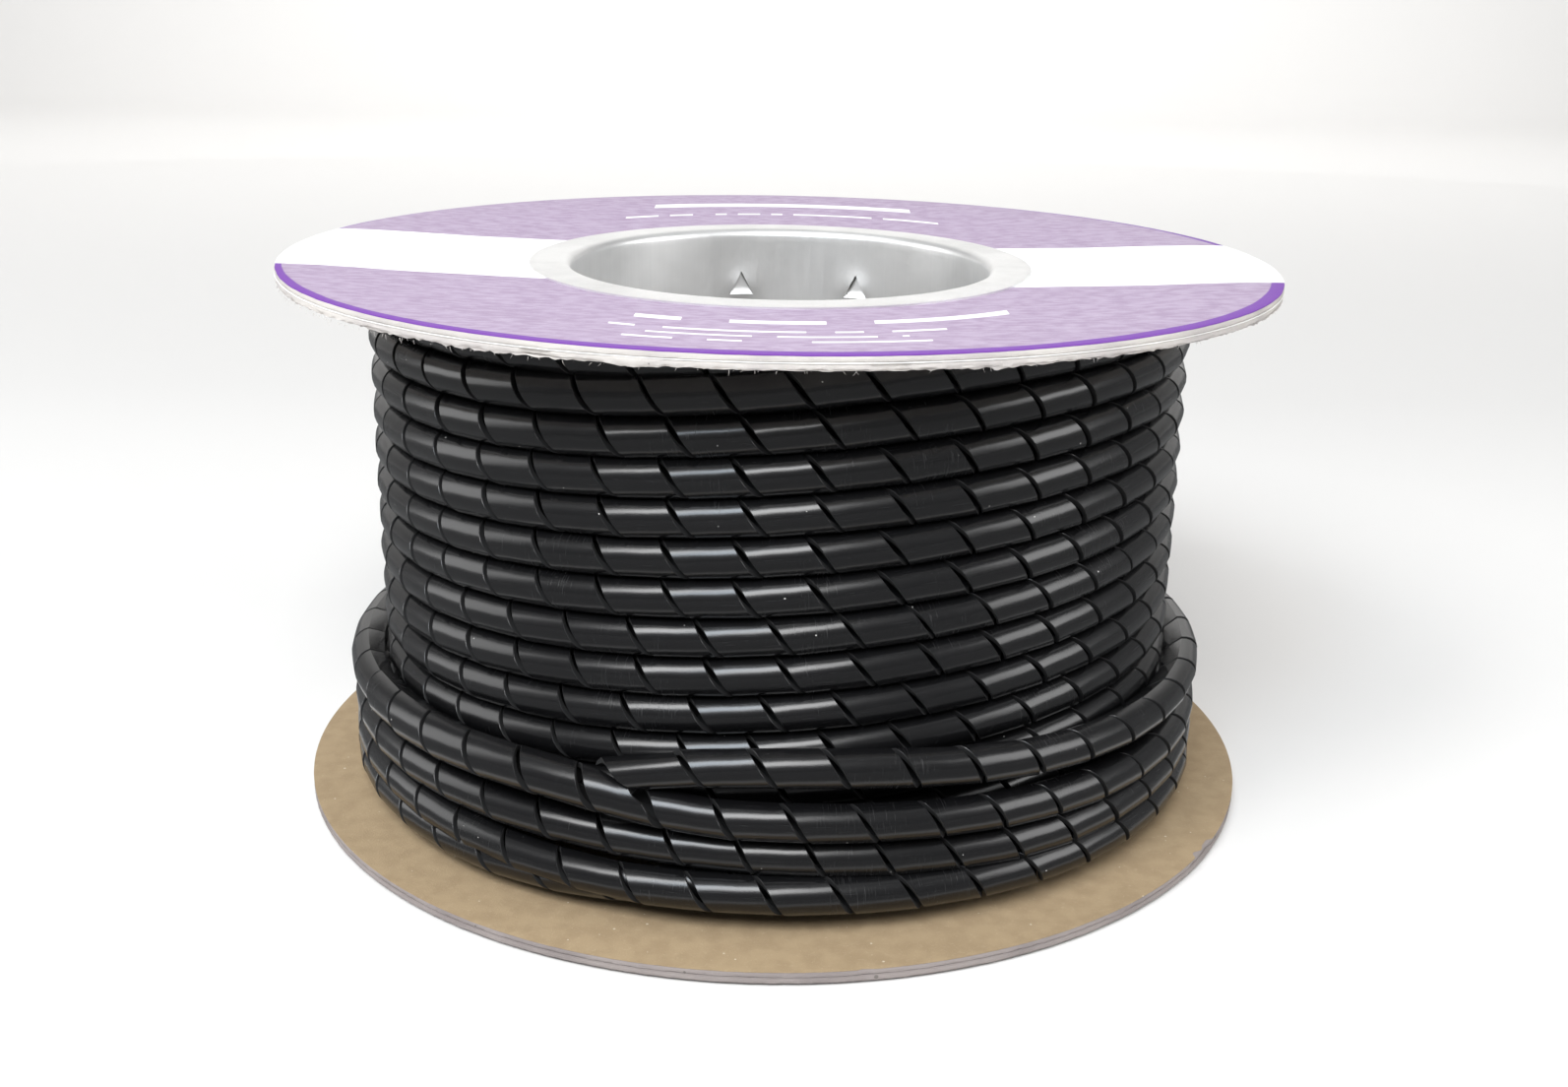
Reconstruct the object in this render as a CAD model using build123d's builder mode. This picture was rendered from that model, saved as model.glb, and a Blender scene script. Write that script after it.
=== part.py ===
"""Cable wrap spool: two paperboard flanges clamped on a core tube by flared metal sleeves.

The axis is Z. The spool stands on the lower sleeve's lip, so z = 0 is the lip's outer face.
The wrap itself, a spiral-cut tube, is stood in for by rings of its coil's outer shape.
"""

from build123d import *
import os
from math import cos, radians, sin

os.makedirs("parts", exist_ok=True)

# ---- Driving dimensions, in millimetres ----

# Flanges: two plies of chipboard with a white liner between them and a kraft facing inside
flange_diameter = 177.8
ply_thickness = 0.9
liner_thickness = 0.15
facing_thickness = 0.1
label_thickness = 0.15
flange_edge_break = 0.15  # softened outer corner of a ply

# Core tube between the flanges
traverse = 91.8  # clear width for the wrap, from flange to flange
core_wall = 3.6

# Flared sleeves
bore_diameter = 76.2
sleeve_wall = 0.5
sleeve_length = 34.0  # from the lip's outer face into the core tube
lip_width = 7.5  # from the bore's wall to the lip's rim
bend_radius = 1.2  # inside radius where the sleeve turns out into the lip
flange_hole_clearance = 0.15  # flange hole to the end of the bend
lead_in = 0.2  # chamfer on the inner end of a sleeve

# Barbs lanced out of the sleeve wall, which bite into the core tube
barb_pairs = 3
barb_spacing = 36.0  # degrees between the two barbs of a pair
barb_width = 5.2
barb_height = 4.6
barb_depth = 12.4  # from the lip's outer face to the barb's base
barb_tilt = 20.0  # degrees that the barb leans out of the wall
barb_first = 66.4  # degrees from +X to the first barb
slit_width = 0.3
pocket_clearance = 0.15

# Wrap: a spiral-cut tube in full layers, and a few turns of the next one
wrap_diameter = 6.35
full_layers = 5
outer_turn_rows = 5
wrap_corner = 2.4  # rounding of the coil's corners

# ---- Places that follow from them ----

bore_radius = bore_diameter / 2
sleeve_radius = bore_radius + sleeve_wall
lip_radius = bore_radius + lip_width
core_radius = sleeve_radius + core_wall
flange_radius = flange_diameter / 2
flange_hole_radius = sleeve_radius + bend_radius + flange_hole_clearance
bend_outer_radius = bend_radius + sleeve_wall
board_thickness = 2 * ply_thickness + liner_thickness + facing_thickness

lower_flange_z = sleeve_wall  # the lower board starts on top of its lip
wrap_floor_z = lower_flange_z + board_thickness
wrap_ceiling_z = wrap_floor_z + traverse
upper_flange_top_z = wrap_ceiling_z + board_thickness
overall_height = upper_flange_top_z + label_thickness + sleeve_wall

turns_per_layer = int(traverse / wrap_diameter)  # as many whole turns as fit side by side
layer_radius = core_radius + full_layers * wrap_diameter
outer_turn_radius = layer_radius + wrap_diameter
layer_height = turns_per_layer * wrap_diameter
outer_turn_height = min(outer_turn_rows, turns_per_layer) * wrap_diameter


def ring(outer_radius, inner_radius, low_z, thickness):
    """Add a flat ring to the part that is being built."""
    with BuildSketch(Plane.XY.offset(low_z)) as section:
        Circle(outer_radius)
        Circle(inner_radius, mode=Mode.SUBTRACT)
    extrude(section.sketch, amount=thickness)


def flange_ring(low_z, thickness):
    """Add one full layer of a flange, with its hole for the sleeve."""
    ring(flange_radius, flange_hole_radius, low_z, thickness)


def soften_rim():
    """Break the outer corners of the ply that is being built."""
    rims = edges().filter_by(GeomType.CIRCLE).group_by(SortBy.RADIUS)[-1]
    fillet(rims, min(flange_edge_break, ply_thickness / 4))


def sleeve_section(lip_z, inward):
    """Return the section of a flared sleeve: its lip's outer face is at lip_z.

    inward is +1 if the sleeve runs up from its lip, and -1 if it runs down.
    """
    tip_z = lip_z + inward * sleeve_length
    bend_z = lip_z + inward * bend_outer_radius
    under_lip_z = lip_z + inward * sleeve_wall
    bend_r = bore_radius + bend_outer_radius
    middle = radians(45)
    outer_middle = (
        bend_r - bend_outer_radius * cos(middle),
        bend_z - inward * bend_outer_radius * sin(middle),
    )
    inner_middle = (
        bend_r - bend_radius * cos(middle),
        bend_z - inward * bend_radius * sin(middle),
    )
    with BuildSketch(Plane.XZ) as section:
        with BuildLine():
            Line((bore_radius, tip_z), (bore_radius, bend_z))
            ThreePointArc((bore_radius, bend_z), outer_middle, (bend_r, lip_z))
            Line((bend_r, lip_z), (lip_radius, lip_z))
            Line((lip_radius, lip_z), (lip_radius, under_lip_z))
            Line((lip_radius, under_lip_z), (bend_r, under_lip_z))
            ThreePointArc((bend_r, under_lip_z), inner_middle, (sleeve_radius, bend_z))
            Line((sleeve_radius, bend_z), (sleeve_radius, tip_z - inward * lead_in))
            Line((sleeve_radius, tip_z - inward * lead_in), (sleeve_radius - lead_in, tip_z))
            Line((sleeve_radius - lead_in, tip_z), (bore_radius, tip_z))
        make_face()
    return section.sketch


def barb_plane(base_z, toward_lip, tilt):
    """The plane of a barb's inner face on the +X side, its Y axis toward the barb's tip."""
    normal = (cos(radians(tilt)), 0, -toward_lip * sin(radians(tilt)))
    return Plane(origin=(bore_radius, 0, base_z), x_dir=(0, toward_lip, 0), z_dir=normal)


def barb_outline(margin):
    """Draw the barb's triangle in the sketch that is open, larger by margin at its two cuts."""
    half = barb_width / 2 + margin
    Polygon((-half, 0), (half, 0), (0, barb_height + 2 * margin), align=None)


def barb_tools(lip_z, inward):
    """Make the three solids of one barb: window through the wall, tongue and pocket."""
    base_z = lip_z + inward * barb_depth
    toward_lip = -inward
    with BuildPart() as window:
        with BuildSketch(barb_plane(base_z, toward_lip, 0)):
            barb_outline(slit_width)
        extrude(amount=sleeve_wall * 2, both=True)
    with BuildPart() as tongue:
        with BuildSketch(barb_plane(base_z, toward_lip, barb_tilt)):
            barb_outline(0)
        extrude(amount=sleeve_wall)
    reach = tongue.part.bounding_box()
    with BuildPart() as pocket:
        with BuildSketch(Plane.XY.offset(reach.min.Z - pocket_clearance)):
            with Locations((bore_radius, 0)):
                Rectangle(
                    reach.max.X - bore_radius + pocket_clearance,
                    barb_width + 2 * pocket_clearance,
                    align=(Align.MIN, Align.CENTER),
                )
        extrude(amount=reach.max.Z - reach.min.Z + 2 * pocket_clearance)
    return window.part, tongue.part, pocket.part


upper_window, upper_tongue, upper_pocket = barb_tools(overall_height, -1)
lower_window, lower_tongue, lower_pocket = barb_tools(0, 1)
barb_turns = [
    Rotation(0, 0, barb_first + 360 / barb_pairs * pair + barb_spacing * place)
    for pair in range(barb_pairs)
    for place in (0, 1)
]

# ---- Sleeves: each is flared over its flange and staked into the core tube ----

with BuildPart() as hub_upper_sleeve:
    revolve(sleeve_section(overall_height, -1), axis=Axis.Z)
    with Locations(*barb_turns):
        add(upper_window, mode=Mode.SUBTRACT)
        add(upper_tongue)

with BuildPart() as hub_lower_sleeve:
    revolve(sleeve_section(0, 1), axis=Axis.Z)
    with Locations(*barb_turns):
        add(lower_window, mode=Mode.SUBTRACT)
        add(lower_tongue)

# ---- Core tube: paperboard, with the dents that the barbs press into it ----

with BuildPart() as core_tube:
    ring(core_radius, sleeve_radius, wrap_floor_z, traverse)
    with Locations(*barb_turns):
        add(upper_pocket, mode=Mode.SUBTRACT)
        add(lower_pocket, mode=Mode.SUBTRACT)

# ---- Lower flange, from its outer ply up to the facing that the wrap lies on ----

with BuildPart() as lower_flange_outer_ply:
    flange_ring(lower_flange_z, ply_thickness)
    soften_rim()

with BuildPart() as lower_flange_liner:
    flange_ring(lower_flange_z + ply_thickness, liner_thickness)

with BuildPart() as lower_flange_inner_ply:
    flange_ring(lower_flange_z + ply_thickness + liner_thickness, ply_thickness)
    soften_rim()

with BuildPart() as lower_flange_facing:
    flange_ring(wrap_floor_z - facing_thickness, facing_thickness)

# ---- Upper flange, from its facing up to the printed label ----

with BuildPart() as upper_flange_facing:
    flange_ring(wrap_ceiling_z, facing_thickness)

with BuildPart() as upper_flange_inner_ply:
    flange_ring(wrap_ceiling_z + facing_thickness, ply_thickness)
    soften_rim()

with BuildPart() as upper_flange_liner:
    flange_ring(wrap_ceiling_z + facing_thickness + ply_thickness, liner_thickness)

with BuildPart() as upper_flange_outer_ply:
    flange_ring(upper_flange_top_z - ply_thickness, ply_thickness)
    soften_rim()

with BuildPart() as flange_label:
    flange_ring(upper_flange_top_z, label_thickness)

# ---- Wrap: the full layers, and the turns of the layer begun outside them ----

with BuildPart() as cable_wrap_layers:
    ring(layer_radius, core_radius, wrap_floor_z, layer_height)
    corners = edges().filter_by(GeomType.CIRCLE).group_by(SortBy.RADIUS)[-1].sort_by(Axis.Z)
    fillet(corners[-1], wrap_corner)

with BuildPart() as cable_wrap_outer_turns:
    ring(outer_turn_radius, layer_radius, wrap_floor_z, outer_turn_height)
    corners = edges().filter_by(GeomType.CIRCLE).group_by(SortBy.RADIUS)[-1]
    fillet(corners, wrap_corner)

pieces = {
    "hub_upper_sleeve": hub_upper_sleeve,
    "hub_lower_sleeve": hub_lower_sleeve,
    "core_tube": core_tube,
    "lower_flange_outer_ply": lower_flange_outer_ply,
    "lower_flange_liner": lower_flange_liner,
    "lower_flange_inner_ply": lower_flange_inner_ply,
    "lower_flange_facing": lower_flange_facing,
    "upper_flange_facing": upper_flange_facing,
    "upper_flange_inner_ply": upper_flange_inner_ply,
    "upper_flange_liner": upper_flange_liner,
    "upper_flange_outer_ply": upper_flange_outer_ply,
    "flange_label": flange_label,
    "cable_wrap_layers": cable_wrap_layers,
    "cable_wrap_outer_turns": cable_wrap_outer_turns,
}
for name, piece in pieces.items():
    piece.part.label = name
    export_step(piece.part, f"parts/{name}.step")
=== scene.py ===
"""The looks of a paperboard spool of spiral-cut cable wrap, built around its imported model.

The spool's axis is Z and it stands on z = 0. Angles round the spool are measured from the
front, the -Y side, toward +X. Every length is in metres.
"""

from __future__ import annotations

import logging
import math
from collections.abc import Callable, Sequence
from dataclasses import dataclass, field
from enum import Enum

import bpy
import numpy as np
from mathutils import Euler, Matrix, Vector

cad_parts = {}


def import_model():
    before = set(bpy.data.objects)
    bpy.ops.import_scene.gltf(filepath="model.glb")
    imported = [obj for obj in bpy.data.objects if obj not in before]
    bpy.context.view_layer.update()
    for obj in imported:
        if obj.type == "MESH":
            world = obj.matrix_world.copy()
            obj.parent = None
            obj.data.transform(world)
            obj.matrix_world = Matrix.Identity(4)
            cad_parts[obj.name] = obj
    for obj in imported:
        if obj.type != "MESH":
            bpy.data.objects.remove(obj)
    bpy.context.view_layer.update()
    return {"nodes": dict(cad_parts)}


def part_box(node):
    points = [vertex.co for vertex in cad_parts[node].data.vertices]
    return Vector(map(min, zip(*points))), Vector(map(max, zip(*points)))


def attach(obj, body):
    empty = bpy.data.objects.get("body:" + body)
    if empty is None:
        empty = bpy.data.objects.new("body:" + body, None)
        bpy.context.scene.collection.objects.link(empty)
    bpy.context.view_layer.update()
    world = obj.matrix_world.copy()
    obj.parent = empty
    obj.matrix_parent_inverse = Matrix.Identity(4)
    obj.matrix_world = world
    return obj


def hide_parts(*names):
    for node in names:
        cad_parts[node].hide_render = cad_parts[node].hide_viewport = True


log = logging.getLogger("cable_wrap_spool")

MM = 0.001
BODY = "root"

TUBE_DIAMETER = 6.35 * MM
FLANGE_RADIUS = 88.9 * MM
BOARD_HOLE_RADIUS = 39.95 * MM
LIP_RADIUS = 45.6 * MM

Array = np.ndarray
Faces = list[list[int]]
Shift = Callable[[Array, Array], Array]
Colour = tuple[float, float, float]
Socket = bpy.types.NodeSocket


# ---------------------------------------------------------------- shared helpers


def smooth_step(x: Array) -> Array:
    """Rise smoothly from 0 to 1 as x goes from 0 to 1, and stay level outside.

    Args:
        x: any values.

    Returns:
        The eased values, of the same shape.
    """
    t = np.clip(x, 0.0, 1.0)
    return t * t * (3.0 - 2.0 * t)


def wander(rng: np.random.Generator, count: int, cell: float, size: float) -> Array:
    """Make a smooth random line.

    Args:
        rng: the seeded source of its knots.
        count: how many values are needed.
        cell: how many values lie between two knots.
        size: the largest distance from zero.

    Returns:
        One value for each step.
    """
    knots = rng.uniform(-size, size, int(count / cell) + 3)
    at = np.arange(count) / cell
    low = at.astype(int)
    blend = smooth_step(at - low)
    return knots[low] * (1.0 - blend) + knots[low + 1] * blend


def new_mesh_object(name: str, points: Array, faces: Sequence[Sequence[int]]) -> bpy.types.Object:
    """Make an object from points and faces and put it in the scene.

    Args:
        name: the piece's name.
        points: an array of positions, one row each.
        faces: the point numbers of each face.

    Returns:
        The new object.
    """
    mesh = bpy.data.meshes.new(name)
    mesh.from_pydata(points.tolist(), [], faces)
    mesh.update()
    piece = bpy.data.objects.new(name, mesh)
    bpy.context.scene.collection.objects.link(piece)
    return piece


def lathe(
    name: str, rings: list[tuple[Array, Array]], dish: Shift | None, from_top: bool = False
) -> bpy.types.Object:
    """Turn a closed profile round the spool's axis.

    Args:
        name: the piece's name.
        rings: the radius and the height of each ring, at each column.
        dish: how far each place is moved up, if at all.
        from_top: whether the profile starts on the upper face.

    Returns:
        The new object.
    """
    columns = len(rings[0][0])
    angle = np.radians(np.linspace(0.0, 360.0, columns, endpoint=False))
    points = np.stack(
        [np.stack([r * np.sin(angle), -r * np.cos(angle), z], axis=1) for r, z in rings], axis=1
    )
    if dish is not None:
        points[..., 2] += dish(points[..., 0], points[..., 1])
    column = np.arange(columns)[:, None] * len(rings)
    after = np.roll(column, -1, axis=0)
    spot = np.arange(len(rings))[None, :]
    following = (spot + 1) % len(rings)
    corners = (column + spot, after + spot, after + following, column + following)
    order = (0, 3, 2, 1) if from_top else (0, 1, 2, 3)
    quads = np.stack([corners[k] for k in order], axis=-1)
    return new_mesh_object(name, points.reshape(-1, 3), quads.reshape(-1, 4).tolist())


def shade(piece: bpy.types.Object, sharp_degrees: float) -> None:
    """Shade a piece smooth, with sharp edges where its faces turn by more than an angle."""
    piece.data.shade_smooth()
    piece.data.set_sharp_from_angle(angle=math.radians(sharp_degrees))


def dress(piece: bpy.types.Object, material: bpy.types.Material) -> None:
    """Give a piece its only material."""
    piece.data.materials.clear()
    piece.data.materials.append(material)


# ---------------------------------------------------------------- the wrap's route


@dataclass(frozen=True)
class Waypoint:
    """A place that an outer turn passes through.

    Attributes:
        along: degrees travelled since the front of the last full layer's last crossing.
        radius_mm: distance of the tube's middle from the spool's axis.
        height_mm: height of the tube's middle above the lower flange.
    """

    along: float
    radius_mm: float
    height_mm: float


@dataclass
class WrapRoute:
    """The line that the cable wrap follows, from the core out to its tucked free end.

    The wrap travels clockwise as seen from above. Each full layer is a stack of level rows,
    and the rows cross over to the next one on the front. Full layers are worked out by a
    loop, and the few loose turns outside them pass through waypoints.
    """

    tube_diameter: float
    core_radius: float
    floor_z: float
    layers: int = 5
    rows: int = 14
    top_row_mm: float = 88.6
    crossing_degrees: float = 140.0
    top_crossing_degrees: float = 92.0
    lean_mm: float = 0.95
    first_turned: float = 70.0
    points_per_turn: int = 24
    fine: int = 6
    outer_turns: tuple[Waypoint, ...] = (
        Waypoint(-20.0, 71.5, 9.4),
        Waypoint(12.0, 75.2, 6.2),
        Waypoint(35.0, 77.1, 5.1),
        Waypoint(64.0, 77.1, 5.0),
        Waypoint(180.0, 77.1, 5.0),
        Waypoint(300.0, 77.1, 5.2),
        Waypoint(320.0, 77.1, 5.4),
        Waypoint(336.0, 77.1, 5.9),
        Waypoint(360.0, 77.1, 6.6),
        Waypoint(375.0, 77.1, 6.7),
        Waypoint(400.0, 77.1, 7.8),
        Waypoint(418.0, 77.1, 9.0),
        Waypoint(540.0, 77.0, 9.8),
        Waypoint(655.0, 77.0, 10.2),
        Waypoint(680.0, 76.9, 10.5),
        Waypoint(696.0, 76.4, 11.2),
        Waypoint(720.0, 75.0, 12.4),
        Waypoint(735.0, 75.2, 13.4),
        Waypoint(755.0, 76.6, 14.6),
        Waypoint(780.0, 77.0, 15.0),
        Waypoint(900.0, 77.1, 15.2),
        Waypoint(1015.0, 77.1, 15.5),
        Waypoint(1040.0, 77.1, 16.5),
        Waypoint(1056.0, 77.1, 17.8),
        Waypoint(1067.0, 77.1, 18.5),
        Waypoint(1078.0, 77.1, 19.2),
        Waypoint(1089.0, 77.2, 19.7),
        Waypoint(1094.0, 77.2, 19.95),
        Waypoint(1098.0, 77.3, 21.4),
        Waypoint(1101.5, 77.5, 22.9),
        Waypoint(1105.0, 77.6, 23.15),
        Waypoint(1113.0, 77.6, 22.95),
        Waypoint(1122.0, 77.5, 22.6),
        Waypoint(1140.0, 77.4, 22.5),
        Waypoint(1260.0, 77.2, 23.2),
        Waypoint(1370.0, 77.2, 23.6),
        Waypoint(1395.0, 77.2, 24.3),
        Waypoint(1412.0, 77.2, 25.8),
        Waypoint(1424.0, 77.2, 27.4),
        Waypoint(1432.0, 77.2, 28.4),
        Waypoint(1442.0, 77.2, 28.85),
        Waypoint(1447.0, 77.2, 28.6),
        Waypoint(1452.0, 77.2, 27.3),
        Waypoint(1457.0, 77.2, 25.3),
        Waypoint(1461.0, 77.3, 23.9),
        Waypoint(1466.0, 77.5, 23.15),
        Waypoint(1473.0, 77.6, 22.95),
        Waypoint(1484.0, 77.5, 22.6),
    )

    def rests(self) -> tuple[Array, Array]:
        """List the rows that the full layers rest in, in the order they are wound.

        Returns:
            The rows' radii and their heights above the lower flange, in millimetres.
        """
        pitch = self.tube_diameter / MM
        first = self.core_radius / MM + pitch / 2
        down = [self.top_row_mm - pitch * row for row in range(self.rows)]
        radii: list[float] = []
        heights: list[float] = []
        for layer in range(self.layers):
            order = down if layer % 2 == 0 else down[::-1]
            if layer == self.layers - 1:
                order = order[:-1]
            radii += [first + pitch * layer] * len(order)
            heights += order
        return np.array(radii), np.array(heights)

    def control_points(self) -> Array:
        """Place the control points of the wrap's line.

        Returns:
            One row of x, y, z for each point, in metres.
        """
        radii, heights = self.rests()
        step = 360.0 / self.points_per_turn
        last = self.outer_start + self.outer_turns[-1].along
        turned = np.arange(self.first_turned, last + 12.0, step)
        crossing = np.clip(np.round(turned / 360.0).astype(int), 0, len(radii) - 1)
        before = np.maximum(crossing - 1, 0)
        shift = turned - 360.0 * crossing
        high = np.maximum(heights[before], heights[crossing]) / self.top_row_mm
        width = self.crossing_degrees + (
            self.top_crossing_degrees - self.crossing_degrees
        ) * smooth_step((high - 0.7) / 0.3)
        share = smooth_step(shift / width + 0.5)
        radius = radii[before] + (radii[crossing] - radii[before]) * share
        height = heights[before] + (heights[crossing] - heights[before]) * share
        ends = np.sin(np.pi * np.clip(height / self.top_row_mm, 0.0, 1.0))
        height = height - self.lean_mm * ends * np.sin(np.radians(turned))
        radius, height = self.join_outer_turns(turned, radius, height, len(radii))
        # A smooth line passes inside its control points, so they stand out by this much.
        reach = 1.0 / (0.75 + 0.25 * math.cos(math.radians(step)))
        angle = -np.radians(turned)
        x = radius * reach * np.sin(angle)
        y = -radius * reach * np.cos(angle)
        return np.stack([x * MM, y * MM, height * MM + self.floor_z], axis=1)

    @property
    def outer_start(self) -> float:
        """The degrees travelled where the outer turns' own count begins."""
        return 360.0 * (self.layers * self.rows - 1)

    def join_outer_turns(
        self, turned: Array, radius: Array, height: Array, rests: int
    ) -> tuple[Array, Array]:
        """Carry the last full layer on into the outer turns.

        Args:
            turned: degrees travelled at each control point.
            radius: the full layers' radius at each point, in millimetres.
            height: the full layers' height at each point, in millimetres.
            rests: how many rows the full layers rest in.

        Returns:
            The radius and the height with the outer turns joined on.
        """
        start = 360.0 * rests
        marks = self.outer_turns
        along = np.array([m.along for m in marks]) + start
        held = turned < along[0] - 60.0
        knots = np.concatenate([turned[held][-2:], along])
        knot_radius = np.concatenate([radius[held][-2:], [m.radius_mm for m in marks]])
        knot_height = np.concatenate([height[held][-2:], [m.height_mm for m in marks]])
        loose = ~held
        radius[loose] = eased_through(knots, knot_radius, turned[loose])
        height[loose] = eased_through(knots, knot_height, turned[loose])
        return radius, height


def eased_through(knots: Array, values: Array, at: Array) -> Array:
    """Draw a smooth line through values that never swings past them.

    Args:
        knots: where the values are, in rising order.
        values: the value at each knot.
        at: where the line is wanted.

    Returns:
        The line's value at each place.
    """
    gap = np.diff(knots)
    rise = np.diff(values) / gap
    slope = np.zeros(len(knots))
    same_way = rise[:-1] * rise[1:] > 0
    slope[1:-1][same_way] = (
        2.0 * rise[:-1][same_way] * rise[1:][same_way] / (rise[:-1] + rise[1:])[same_way]
    )
    index = np.clip(np.searchsorted(knots, at, side="right") - 1, 0, len(gap) - 1)
    width = gap[index]
    t = np.clip((at - knots[index]) / width, 0.0, 1.0)
    keep = 2 * t**3 - 3 * t**2 + 1
    return (
        keep * values[index]
        + (t**3 - 2 * t**2 + t) * width * slope[index]
        + (1.0 - keep) * values[index + 1]
        + (t**3 - t**2) * width * slope[index + 1]
    )


@dataclass
class SmoothLine:
    """A line sampled finely enough to lay geometry along it.

    Attributes:
        points: the sampled positions.
        first_turned: degrees travelled round the spool at the first point.
    """

    points: Array
    first_turned: float
    along: Array = field(init=False)
    turned: Array = field(init=False)

    def __post_init__(self) -> None:
        """Measure the distance travelled at each point."""
        steps = np.linalg.norm(np.diff(self.points, axis=0), axis=1)
        self.along = np.concatenate([[0.0], np.cumsum(steps)])
        round_axis = np.degrees(np.unwrap(np.arctan2(self.points[:, 0], -self.points[:, 1])))
        self.turned = self.first_turned + round_axis[0] - round_axis

    @property
    def length(self) -> float:
        """The line's whole length."""
        return float(self.along[-1])

    def place(self, at: Array) -> Array:
        """Return the position at each distance along the line."""
        return np.stack([np.interp(at, self.along, self.points[:, k]) for k in range(3)], axis=-1)

    def frame(self, at: Array) -> tuple[Array, Array, Array, Array]:
        """Find the position and the directions at each distance along the line.

        Args:
            at: distances along the line.

        Returns:
            The position, the direction of travel, the direction out from the spool's axis
            and the direction across both, each of length one.
        """
        reach = 0.004
        here = self.place(at)
        travel = self.place(at + reach) - self.place(at - reach)
        travel /= np.linalg.norm(travel, axis=-1, keepdims=True)
        out = here * np.array([1.0, 1.0, 0.0])
        out /= np.linalg.norm(out, axis=-1, keepdims=True)
        out -= travel * (out * travel).sum(axis=-1, keepdims=True)
        out /= np.linalg.norm(out, axis=-1, keepdims=True)
        return here, travel, out, np.cross(travel, out)


# ---------------------------------------------------------------- the wrap itself


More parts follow.
